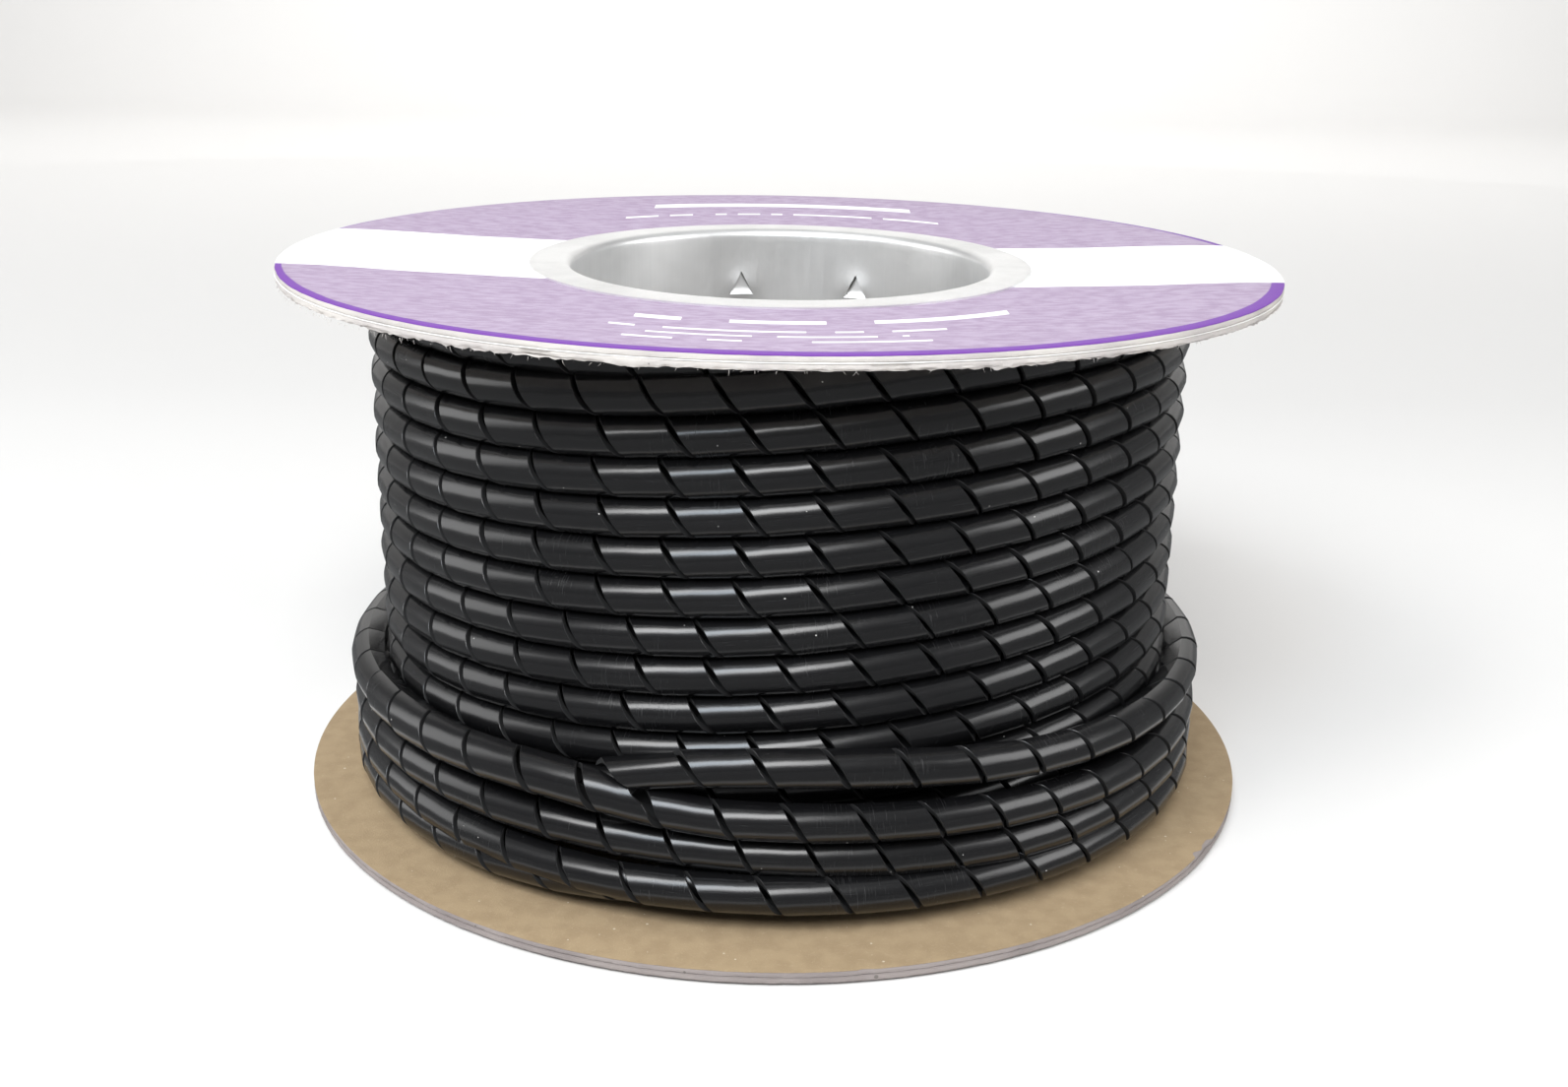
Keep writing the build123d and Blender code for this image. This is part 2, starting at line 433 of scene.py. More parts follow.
@dataclass
class CableWrap:
    """The spiral-cut tube: a ribbon with a slit that runs round it as a right-hand helix.

    Attributes:
        slit_drift_mm: how far the slits of each turn of the last layers are moved along.
        straightness: how nearly the ribbon's edges stay square to the tube on a bend.
        outer_steps: points round the side that can be seen.
        inner_steps: points round the side that faces the core.
        tuck_at: degrees of the outer turns where the free end goes into the turn below.
        tuck_growth: the share by which that turn is swollen there.
        tuck_gap: how much its slit is held open.
        flap_cut: how far its ribbon is pushed aside.
        free_end_at: degrees of the outer turns where the ribbon ends.
        drawn_from: degrees of the outer turns where the free end begins to be drawn in.
        drawn_over: degrees over which it is drawn in.
        end_shrink: the share by which its radius is drawn in.
        end_flare: how far the last half turn of ribbon widens.
    """

    route: WrapRoute
    tube_radius: float
    wall: float = 0.95 * MM
    slit_pitch: float = 10.7926 * MM
    first_slit: float = 3.1 * MM
    slit_drift_mm: tuple[float, ...] = (
        -2.0, -4.0, -6.0, -2.4, -1.2, 2.1, 4.6, 1.7, 2.7,
        7.5, 11.8, 10.5, 8.0, 12.0, 16.2, 17.8, 18.6, 23.6,
    )
    slit: float = 0.46 * MM
    slit_opening: float = 0.22 * MM
    edge_break: float = 0.13 * MM
    straightness: float = 0.65
    outer_steps: int = 11
    inner_steps: int = 3
    hidden_step: float = 15.0 * MM
    hidden_sides: int = 6
    tuck_growth: float = 0.14
    tuck_gap: float = 1.5 * MM
    tuck_at: float = 1094.7
    free_end_at: float = 1459.0
    drawn_from: float = 1449.0
    drawn_over: float = 9.0
    end_flare: float = 1.7 * MM
    flap_cut: float = 8.6 * MM
    end_shrink: float = 0.25
    outer_turn_radius: float = 77.3 * MM
    declared_length: float = 27.5
    seed: int = 11

    def smooth_line(self) -> SmoothLine:
        """Lay a smooth spline through the route and sample it.

        Returns:
            The sampled line.
        """
        controls = self.route.control_points()
        curve = bpy.data.curves.new("wrap_route", "CURVE")
        curve.dimensions = "3D"
        spline = curve.splines.new("NURBS")
        spline.points.add(len(controls) - 1)
        flat = np.concatenate([controls, np.ones((len(controls), 1))], axis=1)
        spline.points.foreach_set("co", flat.ravel())
        spline.order_u = 3
        spline.use_endpoint_u = True
        spline.resolution_u = self.route.fine
        carrier = bpy.data.objects.new("wrap_route", curve)
        mesh = bpy.data.meshes.new_from_object(carrier)
        points = np.zeros(len(mesh.vertices) * 3)
        mesh.vertices.foreach_get("co", points)
        bpy.data.meshes.remove(mesh)
        bpy.data.objects.remove(carrier)
        bpy.data.curves.remove(curve)
        return SmoothLine(points.reshape(-1, 3), self.route.first_turned)

    def swell(self, outer_turned: Array) -> Array:
        """Say how much the tube is opened by the free end inside it, or drawn in at the end.

        Args:
            outer_turned: degrees travelled since the outer turns began.

        Returns:
            The factor on the tube's radius.
        """
        opened = smooth_step((outer_turned - self.tuck_at + 2.0) / 8.0)
        closed = 1.0 - smooth_step((outer_turned - self.tuck_at - 32.0) / 25.0)
        drawn = smooth_step((outer_turned - self.drawn_from) / self.drawn_over)
        return 1.0 + self.tuck_growth * opened * closed - self.end_shrink * drawn

    def ribbon(self, line: SmoothLine, start: float) -> tuple[Array, Faces, Array]:
        """Shape the spiral ribbon of the turns that can be seen.

        Args:
            line: the wrap's line.
            start: the distance along the line where the ribbon starts.

        Returns:
            The points, the faces, and for each point the distance along the tube, the distance
            round it, and 1 where it lies on a cut face.
        """
        rng = np.random.default_rng(self.seed)
        outer = np.linspace(-90.0, 90.0, self.outer_steps, endpoint=False)
        inner = np.linspace(90.0, 270.0, self.inner_steps, endpoint=False)
        ring = np.radians(np.concatenate([outer, inner]))
        turns = int((line.length - start) / self.slit_pitch) + 1
        angle = (ring[None, :] + 2.0 * math.pi * np.arange(turns)[:, None]).ravel()
        last_drift = self.slit_drift_mm[-1] * MM
        front_edge = start + self.slit_pitch * (np.arange(turns) + 1.25) + last_drift
        edge_turned = np.interp(front_edge, line.along, line.turned) - self.route.outer_start
        last_turn = int(np.argmin(np.abs(edge_turned - self.free_end_at)))
        angle = angle[angle < 2.0 * math.pi * last_turn + math.pi]
        rows = len(angle)
        per_turn = len(ring)
        middle = start + self.slit_pitch * (angle / (2.0 * math.pi) + 0.75)
        rows_passed = np.interp(middle, line.along, line.turned) / 360.0
        first_row = self.route.rows * (self.route.layers - 1)
        marks_at = first_row + np.arange(len(self.slit_drift_mm))
        middle = middle + np.interp(rows_passed, marks_at, self.slit_drift_mm) * MM
        here, travel, out, across = line.frame(middle)
        turned = np.interp(middle, line.along, line.turned) - self.route.outer_start
        radius = self.tube_radius * self.swell(turned)
        spread = np.clip(1.0 - np.abs(turned - self.tuck_at + 0.5) / 5.0, 0.0, 1.0)
        lower_side = smooth_step(0.9 - np.sin(angle))
        gap = self.slit + self.slit_opening * np.cos(angle) + self.tuck_gap * spread * lower_side
        width = self.slit_pitch - gap + wander(rng, rows, per_turn * 0.8, 0.17 * MM)
        cut = self.flap_shape(angle, turned)
        lead = wander(rng, rows, per_turn * 0.45, 0.09 * MM)
        trail = wander(rng, rows, per_turn * 0.45, 0.09 * MM)
        swell = wander(rng, rows, per_turn * 2.3, 0.05 * MM)
        half = width / 2.0
        into_end = (angle - 2.0 * math.pi * last_turn + math.pi / 2.0) / (math.pi / 2.0)
        front_half = half + self.end_flare * smooth_step(into_end)
        brk = self.edge_break
        profile = (
            (cut - half, -self.wall, 0.5 * trail),
            (cut - half, -brk, trail),
            (cut - half + brk, 0.0, trail),
            (cut * 0.6 - half / 3.0, 0.0, (2.0 * trail + lead) / 3.0),
            (cut * 0.25 + half / 3.0, 0.0, (trail + 2.0 * lead) / 3.0),
            (front_half - brk, 0.0, lead),
            (front_half, -brk, lead),
            (front_half, -self.wall, 0.5 * lead),
        )
        points = np.zeros((rows, len(profile), 3))
        marks = np.zeros((rows, len(profile), 3))
        for k, (offset, depth, lift) in enumerate(profile):
            curved, _, out_k, across_k = line.frame(middle + offset)
            straight = here + travel * offset[:, None]
            spine = curved + (straight - curved) * self.straightness
            side = out + (out_k - out) * (1.0 - self.straightness)
            cross = across + (across_k - across) * (1.0 - self.straightness)
            reach = radius + depth + lift + swell
            points[:, k] = spine + reach[:, None] * (
                np.cos(angle)[:, None] * side + np.sin(angle)[:, None] * cross
            )
            marks[:, k, 0] = middle + offset
            marks[:, k, 1] = angle * self.tube_radius
            marks[:, k, 2] = 1.0 if depth < 0.0 else 0.0
        faces = strip_faces(rows, len(profile), 0)
        return points.reshape(-1, 3), faces, marks.reshape(-1, 3)

    def flap_shape(self, angle: Array, outer_turned: Array) -> Array:
        """Shape the one turn of ribbon that the free end pushes aside as it goes in.

        Args:
            angle: the angle round the tube at each row of points.
            outer_turned: degrees travelled since the outer turns began.

        Returns:
            How far the ribbon's trailing edge is moved along the tube at each row.
        """
        turn = np.floor(angle / (2.0 * math.pi) + 0.25).astype(int)
        round_tube = np.degrees(angle) - 360.0 * turn
        half_turn = math.degrees(self.slit_pitch / (2.0 * self.outer_turn_radius))
        front = np.abs(round_tube - 22.0) < 8.0
        error = np.where(front, np.abs(outer_turned - half_turn - self.tuck_at), np.inf)
        chosen = turn[int(np.argmin(error))]
        lifted = 0.24 * smooth_step((round_tube - 16.0) / 26.0)
        lifted = lifted + 0.76 * smooth_step((round_tube - 46.0) / 60.0)
        lifted = lifted * (1.0 - smooth_step((round_tube - 200.0) / 60.0))
        return np.where(turn == chosen, self.flap_cut * lifted, 0.0)

    def hidden_tube(self, line: SmoothLine, end: float, first: int) -> tuple[Array, Faces]:
        """Shape the buried turns as a plain tube.

        Args:
            line: the wrap's line.
            end: the distance along the line where the tube stops.
            first: the number of its first point.

        Returns:
            The points and the faces.
        """
        at = np.linspace(0.001, end, int(end / self.hidden_step))
        here, _, out, across = line.frame(at)
        turn = np.linspace(0.0, 2.0 * math.pi, self.hidden_sides, endpoint=False)
        round_it = np.cos(turn)[None, :, None] * out[:, None]
        round_it = round_it + np.sin(turn)[None, :, None] * across[:, None]
        points = here[:, None] + self.tube_radius * 0.98 * round_it
        return points.reshape(-1, 3), strip_faces(len(at), self.hidden_sides, first)

    def build(self, material: bpy.types.Material) -> bpy.types.Object:
        """Build the whole wrap as one piece and log its length.

        Args:
            material: the wrap's plastic.

        Returns:
            The finished piece.
        """
        line = self.smooth_line()
        outer_start = self.buried_length() + self.first_slit
        ribbon_points, ribbon_faces, marks = self.ribbon(line, outer_start)
        tube_points, tube_faces = self.hidden_tube(line, outer_start + 0.01, len(ribbon_points))
        piece = new_mesh_object(
            "cable_wrap", np.concatenate([ribbon_points, tube_points]), ribbon_faces + tube_faces
        )
        shade(piece, 35.0)
        store_marks(piece, marks, line.along)
        dress(piece, material)
        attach(piece, BODY)
        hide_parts("cable_wrap_layers", "cable_wrap_outer_turns")
        log.info("cable_wrap: %.2f m long, %d points", line.length, len(piece.data.vertices))
        return piece

    def buried_length(self) -> float:
        """Return the length of the full layers under the last, less about one and a half turns."""
        pitch = self.route.tube_diameter
        buried = range(self.route.layers - 1)
        radii = [self.route.core_radius + (layer + 0.5) * pitch for layer in buried]
        whole = sum(2.0 * math.pi * radius * self.route.rows for radius in radii)
        return whole - 1.4 * 2.0 * math.pi * radii[-1]


def strip_faces(rows: int, ring: int, first: int) -> Faces:
    """Join rings of points into a closed strip with a face at each end.

    Args:
        rows: how many rings there are.
        ring: how many points each ring has.
        first: the number of the first point.

    Returns:
        The point numbers of each face.
    """
    row = np.arange(rows - 1)[:, None] * ring
    spot = np.arange(ring)[None, :]
    after = (spot + 1) % ring
    quads = np.stack([row + spot, row + after, row + ring + after, row + ring + spot], axis=-1)
    faces = (quads.reshape(-1, 4) + first).tolist()
    faces.append([first + k for k in range(ring)][::-1])
    faces.append([first + (rows - 1) * ring + k for k in range(ring)])
    return faces


def store_marks(piece: bpy.types.Object, marks: Array, along: Array) -> None:
    """Keep each point's place on the tube, for the scratches to follow, and the cut faces' mark.

    Args:
        piece: the wrap.
        marks: the ribbon's two distances and its cut faces' mark, at each point.
        along: the line's distances, whose last value fills the buried points.
    """
    count = len(piece.data.vertices)
    values = np.zeros((count, 3))
    values[: len(marks)] = marks
    values[len(marks) :, 0] = along[0]
    layer = piece.data.attributes.new("wrap_marks", "FLOAT_VECTOR", "POINT")
    layer.data.foreach_set("vector", values.ravel())


# ---------------------------------------------------------------- finishes


def rgba(colour: Colour) -> tuple[float, float, float, float]:
    """Add a full alpha to a colour."""
    return (*colour, 1.0)


@dataclass
class Graph:
    """Adds nodes to a material or to a shared effect, one line each."""

    tree: bpy.types.NodeTree

    def node(
        self, kind: str, inputs: dict[str | int, object] | None = None, **settings: object
    ) -> bpy.types.Node:
        """Add a node, set its options, and fill or link its inputs.

        Args:
            kind: the node's type, without the shader prefix.
            inputs: a value or a socket for each named or numbered input.
            settings: the node's own options.

        Returns:
            The new node.
        """
        node = self.tree.nodes.new("ShaderNode" + kind)
        for name, value in settings.items():
            setattr(node, name, value)
        for name, value in (inputs or {}).items():
            self.fill(node.inputs[name], value)
        return node

    def fill(self, target: Socket, value: object) -> None:
        """Link a socket to another, or give it a plain value."""
        if isinstance(value, Socket):
            self.link(value, target)
        else:
            target.default_value = value

    def math(self, operation: str, *values: float | Socket, clamp: bool = False) -> Socket:
        """Work out one number from others."""
        inputs = dict(enumerate(values))
        return self.node("Math", inputs, operation=operation, use_clamp=clamp).outputs[0]

    def vector(self, operation: str, first: Socket, second: tuple[float, ...] | Socket) -> Socket:
        """Work out one vector from two."""
        return self.node("VectorMath", {0: first, 1: second}, operation=operation).outputs[0]

    def flat_length(self, place: Socket) -> Socket:
        """Return a place's distance from the upright axis."""
        flat = self.vector("MULTIPLY", place, (1.0, 1.0, 0.0))
        return self.node("VectorMath", {0: flat}, operation="LENGTH").outputs["Value"]

    def streaks(self, place: Socket, scale: tuple[float, float, float]) -> bpy.types.Node:
        """Place the streaks at a scale along each direction."""
        return STREAKS.place(self, {"Place": self.vector("MULTIPLY", place, scale)})

    def blend(self, share: float | Socket, first: object, second: object) -> Socket:
        """Mix two colours by a share from 0 to 1."""
        node = self.node("Mix", data_type="RGBA", clamp_factor=True)
        for index, value in ((0, share), (6, first), (7, second)):
            self.fill(node.inputs[index], value)
        return node.outputs[2]

    def rise(self, value: Socket, low: float, high: float) -> Socket:
        """Turn a value into 0 below a low mark, 1 above a high mark, and smooth between."""
        inputs = {"Value": value, "From Min": low, "From Max": high}
        return self.node("MapRange", inputs, interpolation_type="SMOOTHSTEP").outputs[0]

    def within(self, value: Socket, middle: float, half: float, soft: float) -> Socket:
        """Mark the places where a value lies close to a middle value."""
        away = self.math("ABSOLUTE", self.math("SUBTRACT", value, middle))
        return self.math("SUBTRACT", 1.0, self.rise(away, half - soft, half + soft))

    def noise(self, place: Socket, scale: float, detail: float, roughness: float = 0.55) -> Socket:
        """Add cloudy noise and return its strength."""
        inputs = {"Vector": place, "Scale": scale, "Detail": detail, "Roughness": roughness}
        return self.node("TexNoise", inputs).outputs[0]

    def link(self, source: Socket, target: Socket) -> None:
        """Link two sockets."""
        self.tree.links.new(source, target)


@dataclass
class SharedEffect:
    """A node group that several finishes place with their own values."""

    name: str
    inputs: dict[str, tuple[str, object]]
    outputs: dict[str, str]
    draw: Callable[[Graph, dict[str, Socket]], dict[str, Socket]]
    tree: bpy.types.NodeTree | None = None

    def build(self) -> bpy.types.NodeTree:
        """Build the group the first time that it is wanted.

        Returns:
            The group.
        """
        if self.tree is None:
            self.tree = bpy.data.node_groups.new(self.name, "ShaderNodeTree")
            for name, (kind, value) in self.inputs.items():
                socket = self.tree.interface.new_socket(name, in_out="INPUT", socket_type=kind)
                if value is not None:
                    socket.default_value = value
            for name, kind in self.outputs.items():
                self.tree.interface.new_socket(name, in_out="OUTPUT", socket_type=kind)
            given = self.tree.nodes.new("NodeGroupInput")
            taken = self.tree.nodes.new("NodeGroupOutput")
            graph = Graph(self.tree)
            results = self.draw(graph, {name: given.outputs[name] for name in self.inputs})
            for name, socket in results.items():
                graph.link(socket, taken.inputs[name])
        return self.tree

    def place(self, graph: Graph, inputs: dict[str, object]) -> bpy.types.Node:
        """Place the effect in a material.

        Args:
            graph: the material's graph.
            inputs: a value or a socket for each input.

        Returns:
            The placed node.
        """
        return graph.node("Group", inputs, node_tree=self.build())


def draw_paper(graph: Graph, given: dict[str, Socket]) -> dict[str, Socket]:
    """Draw paper pulp: slow clouds, short fibres and a fine tooth."""
    clouds = graph.node(
        "TexNoise", {"Vector": given["Place"], "Scale": given["Cloud scale"], "Detail": 4.0}
    )
    fibre = graph.node(
        "TexNoise",
        {
            "Vector": given["Place"],
            "Scale": given["Fibre scale"],
            "Detail": 5.0,
            "Roughness": 0.7,
            "Distortion": 1.6,
        },
    )
    cloud = graph.rise(clouds.outputs[0], 0.34, 0.68)
    tooth = graph.rise(fibre.outputs[0], 0.3, 0.72)
    colour = graph.blend(cloud, given["Plain"], given["Dark"])
    light = graph.math("MULTIPLY", graph.rise(fibre.outputs[0], 0.54, 0.78), given["Fibre share"])
    return {"Colour": graph.blend(light, colour, given["Light"]), "Height": tooth}


def draw_specks(graph: Graph, given: dict[str, Socket]) -> dict[str, Socket]:
    """Draw scattered specks of different sizes."""
    cells = graph.node("TexVoronoi", {"Vector": given["Place"], "Scale": given["Scale"]})
    chance = graph.node("SeparateColor", {0: cells.outputs["Color"]})
    size = graph.math("MULTIPLY", given["Size"], chance.outputs[0])
    near = graph.math("LESS_THAN", cells.outputs["Distance"], size)
    kept = graph.math("LESS_THAN", chance.outputs[1], given["Share"])
    return {"Mask": graph.math("MULTIPLY", near, kept)}


def draw_streaks(graph: Graph, given: dict[str, Socket]) -> dict[str, Socket]:
    """Draw fine streaks along the direction in which the place is squeezed."""
    fine = graph.noise(given["Place"], 1.0, 3.0, 0.6)
    broad = graph.noise(given["Place"], 0.23, 2.0)
    both = graph.math("ADD", graph.math("MULTIPLY", fine, 0.6), graph.math("MULTIPLY", broad, 0.4))
    return {"Height": both, "Mask": graph.rise(fine, 0.56, 0.72)}


PAPER = SharedEffect(
    "paper_pulp",
    {
        "Place": ("NodeSocketVector", None),
        "Plain": ("NodeSocketColor", None),
        "Dark": ("NodeSocketColor", None),
        "Light": ("NodeSocketColor", None),
        "Cloud scale": ("NodeSocketFloat", 120.0),
        "Fibre scale": ("NodeSocketFloat", 1800.0),
        "Fibre share": ("NodeSocketFloat", 0.3),
    },
    {"Colour": "NodeSocketColor", "Height": "NodeSocketFloat"},
    draw_paper,
)
SPECKS = SharedEffect(
    "specks",
    {
        "Place": ("NodeSocketVector", None),
        "Scale": ("NodeSocketFloat", 200.0),
        "Size": ("NodeSocketFloat", 0.1),
        "Share": ("NodeSocketFloat", 0.3),
    },
    {"Mask": "NodeSocketFloat"},
    draw_specks,
)
STREAKS = SharedEffect(
    "streaks",
    {"Place": ("NodeSocketVector", None)},
    {"Height": "NodeSocketFloat", "Mask": "NodeSocketFloat"},
    draw_streaks,
)


def new_material(
    name: str, roughness: float, specular: float = 0.5
) -> tuple[bpy.types.Material, Graph, bpy.types.Node]:
    """Start a material.

    Args:
        name: the material's name.
        roughness: the roughness where nothing else sets it.
        specular: the strength of the plain reflection.

    Returns:
        The material, its graph and its main shader.
    """
    material = bpy.data.materials.new(name)
    material.use_nodes = True
    shader = material.node_tree.nodes["Principled BSDF"]
    shader.inputs["Roughness"].default_value = roughness
    shader.inputs["Specular IOR Level"].default_value = specular
    return material, Graph(material.node_tree), shader


def add_bump(graph: Graph, shader: bpy.types.Node, height: Socket, distance: float) -> None:
    """Raise a surface by a height through a bump node.

    Args:
        graph: the material's graph.
        shader: the material's main shader.
        height: the height, from 0 to 1.
        distance: how far a height of 1 stands up, in metres.
    """
    bump = graph.node("Bump", {"Height": height, "Distance": distance, "Strength": 1.0})
    graph.link(bump.outputs[0], shader.inputs["Normal"])


@dataclass(frozen=True)
class PaperFinish:
    """Uncoated paper or board with fibres and a few specks."""

    name: str
    plain: Colour
    dark: Colour
    light: Colour
    speck: Colour
    cloud_scale: float = 90.0
    fibre_scale: float = 1500.0
    fibre_share: float = 0.35
    speck_scale: float = 420.0
    speck_share: float = 0.3
    speck_size: float = 0.2
    tooth: float = 0.03 * MM

    def make(self) -> bpy.types.Material:
        """Make the material."""
        material, graph, shader = new_material(self.name, 0.85, 0.25)
        place = graph.node("TexCoord").outputs["Object"]
        pulp = PAPER.place(
            graph,
            {
                "Place": place,
                "Plain": rgba(self.plain),
                "Dark": rgba(self.dark),
                "Light": rgba(self.light),
                "Cloud scale": self.cloud_scale,
                "Fibre scale": self.fibre_scale,
                "Fibre share": self.fibre_share,
            },
        )
        specks = SPECKS.place(
            graph,
            {
                "Place": place,
                "Scale": self.speck_scale,
                "Size": self.speck_size,
                "Share": self.speck_share,
            },
        )
        colour = graph.blend(specks.outputs["Mask"], pulp.outputs["Colour"], rgba(self.speck))
        graph.link(colour, shader.inputs["Base Color"])
        add_bump(graph, shader, pulp.outputs["Height"], self.tooth)
        return material


@dataclass(frozen=True)
class LabelFinish:
    """The printed top label: lilac ink on white paper, with plain bars for its lines of print."""

    ink: Colour = (0.395, 0.315, 0.43)
    ink_dark: Colour = (0.305, 0.222, 0.335)
    ink_light: Colour = (0.56, 0.51, 0.585)
    rim_ink: Colour = (0.15, 0.035, 0.31)
    paper: Colour = (0.88, 0.88, 0.88)
    grey_ink: Colour = (0.42, 0.41, 0.42)
    band_half: float = 21.5 * MM
    rim_centre: tuple[float, float, float] = (-0.4 * MM, 1.2 * MM, 0.0)
    rim_starts: float = 87.9 * MM

    def make(self) -> bpy.types.Material:
        """Make the material."""
        material, graph, shader = new_material("printed_label", 0.55, 0.35)
        place = graph.node("TexCoord").outputs["Object"]
        parts = graph.node("SeparateXYZ", {0: place})
        x, y = parts.outputs[0], parts.outputs[1]
        radius = graph.flat_length(place)
        pulp = PAPER.place(
            graph,
            {
                "Place": graph.vector("MULTIPLY", place, (0.45, 1.0, 1.0)),
                "Plain": rgba(self.ink),
                "Dark": rgba(self.ink_dark),
                "Light": rgba(self.ink_light),
                "Cloud scale": 700.0,
                "Fibre scale": 1500.0,
                "Fibre share": 0.75,
            },
        )
        waver = graph.math("MULTIPLY", graph.noise(place, 40.0, 3.0), 0.9 * MM)
        rim_radius = graph.flat_length(graph.vector("SUBTRACT", place, self.rim_centre))
        ragged = graph.math("ADD", rim_radius, waver)
        rim = graph.rise(ragged, self.rim_starts, self.rim_starts + 0.3 * MM)
        inked = graph.blend(rim, pulp.outputs["Colour"], rgba(self.rim_ink))
        printed = graph.blend(self.marks(graph, x, y, radius), inked, rgba(self.paper))
        band = graph.within(y, 0.0, self.band_half, 0.12 * MM)
        colour = graph.blend(band, printed, rgba(self.paper))
        notes = graph.math("MULTIPLY", band, self.band_lines(graph, x, y))
        graph.link(graph.blend(notes, colour, rgba(self.grey_ink)), shader.inputs["Base Color"])
        add_bump(graph, shader, pulp.outputs["Height"], 0.008 * MM)
        return material

    def dashes(self, graph: Graph, along: Socket, step: float, seed: float) -> Socket:
        """Break a line into plain bars of uneven length.

        Args:
            graph: the material's graph.
            along: the distance along the line.
            step: the length of one bar's unit.
            seed: a number that changes which units are left blank.

        Returns:
            1 on a bar and 0 in a gap.
        """
        unit = graph.math("FLOOR", graph.math("DIVIDE", along, step))
        place = graph.math("ADD", unit, seed)
        chance = graph.node("TexWhiteNoise", {"W": place}, noise_dimensions="1D")
        return graph.math("GREATER_THAN", chance.outputs[0], 0.2)

    def marks(self, graph: Graph, x: Socket, y: Socket, radius: Socket) -> Socket:
        """Draw plain bars on the two lilac fields.

        Args:
            graph: the material's graph.
            x: the place across the label.
            y: the place from the front to the back.
            radius: the distance from the middle.

        Returns:
            The mask of the bars.
        """
        front = graph.math("LESS_THAN", y, 0.0)
        back = graph.math("SUBTRACT", 1.0, front)
        bars: list[Socket] = []
        for middle, half, reach, step, seed, side in (
            (59.5, 1.6, 36.0, 7.3, 3.0, front),
            (68.5, 0.7, 25.0, 4.2, 17.0, front),
            (73.5, 0.7, 19.0, 3.6, 29.0, front),
            (78.5, 0.7, 22.0, 4.9, 41.0, front),
            (73.0, 2.1, 28.0, 60.0, 64.0, back),
            (61.5, 0.8, 33.0, 2.4, 71.0, back),
        ):
            ring = graph.within(radius, middle * MM, half * MM, 0.12 * MM)
            side_on = graph.within(x, 0.0, reach * MM, 0.1 * MM)
            mask = graph.math("MULTIPLY", graph.math("MULTIPLY", ring, side_on), side)
            if step < 50.0:
                mask = graph.math("MULTIPLY", mask, self.dashes(graph, x, step * MM, seed))
            bars.append(mask)
        total = bars[0]
        for mask in bars[1:]:
            total = graph.math("ADD", total, mask, clamp=True)
        return graph.math("MULTIPLY", total, 0.92)

    def band_lines(self, graph: Graph, x: Socket, y: Socket) -> Socket:
        """Draw the short grey lines at the left of the white band."""
        total: Socket | None = None
        for middle, reach, step, seed in (
            (13.0, 9.0, 1.5, 5.0),
            (8.0, 6.0, 1.1, 9.0),
            (3.5, 9.5, 1.2, 13.0),
            (-1.0, 11.0, 1.3, 19.0),
            (-8.0, 7.0, 2.0, 23.0),
        ):
            row = graph.within(y, middle * MM, 0.75 * MM, 0.1 * MM)
            span = graph.within(x, -66.0 * MM, reach * MM, 0.1 * MM)
            dashes = self.dashes(graph, x, step * MM, seed)
            mask = graph.math("MULTIPLY", graph.math("MULTIPLY", row, span), dashes)
            total = mask if total is None else graph.math("ADD", total, mask, clamp=True)
        return graph.math("MULTIPLY", total, 0.55)


@dataclass(frozen=True)
class WrapFinish:
    """Black polyethylene with an extruded sheen, fine scratches and stray dust."""

    colour: Colour = (0.0040, 0.0040, 0.0044)
    scuffed: Colour = (0.022, 0.022, 0.023)
    dust: Colour = (0.55, 0.54, 0.52)
    specular: float = 0.50

    def make(self) -> bpy.types.Material:
        """Make the material."""
        material, graph, shader = new_material("black_polyethylene", 0.25, self.specular)
        place = graph.node("TexCoord").outputs["Object"]
        marks = graph.node("Attribute", attribute_name="wrap_marks").outputs["Vector"]
        drawn = graph.streaks(marks, (160.0, 5200.0, 1.0))
        rubbed = graph.streaks(marks, (3600.0, 240.0, 1.0))
        patch = graph.rise(graph.noise(place, 70.0, 3.0), 0.48, 0.7)
        scuff = graph.math("MULTIPLY", patch, rubbed.outputs["Mask"])
        line = graph.math("MULTIPLY", drawn.outputs["Mask"], 0.25)
        worn = graph.math("ADD", graph.math("MULTIPLY", scuff, 0.7), line, clamp=True)
        colour = graph.blend(worn, rgba(self.colour), rgba(self.scuffed))
        dust = SPECKS.place(graph, {"Place": place, "Scale": 420.0, "Size": 0.062, "Share": 0.20})
        dusty = graph.blend(dust.outputs["Mask"], colour, rgba(self.dust))
        graph.link(dusty, shader.inputs["Base Color"])
        rough = graph.math("ADD", graph.math("MULTIPLY", worn, 0.14), 0.205)
        cloud = graph.math("MULTIPLY", graph.noise(place, 45.0, 2.0), 0.07)
        sawn = graph.rise(graph.node("SeparateXYZ", {0: marks}).outputs[2], 0.1, 0.7)
        sheen = graph.math("ADD", rough, cloud)
        uneven = graph.math("MULTIPLY_ADD", sawn, 0.65, sheen, clamp=True)
        graph.link(uneven, shader.inputs["Roughness"])
        height = graph.math("ADD", drawn.outputs["Height"], graph.math("MULTIPLY", scuff, -0.6))
        add_bump(graph, shader, height, 0.006 * MM)
        return material


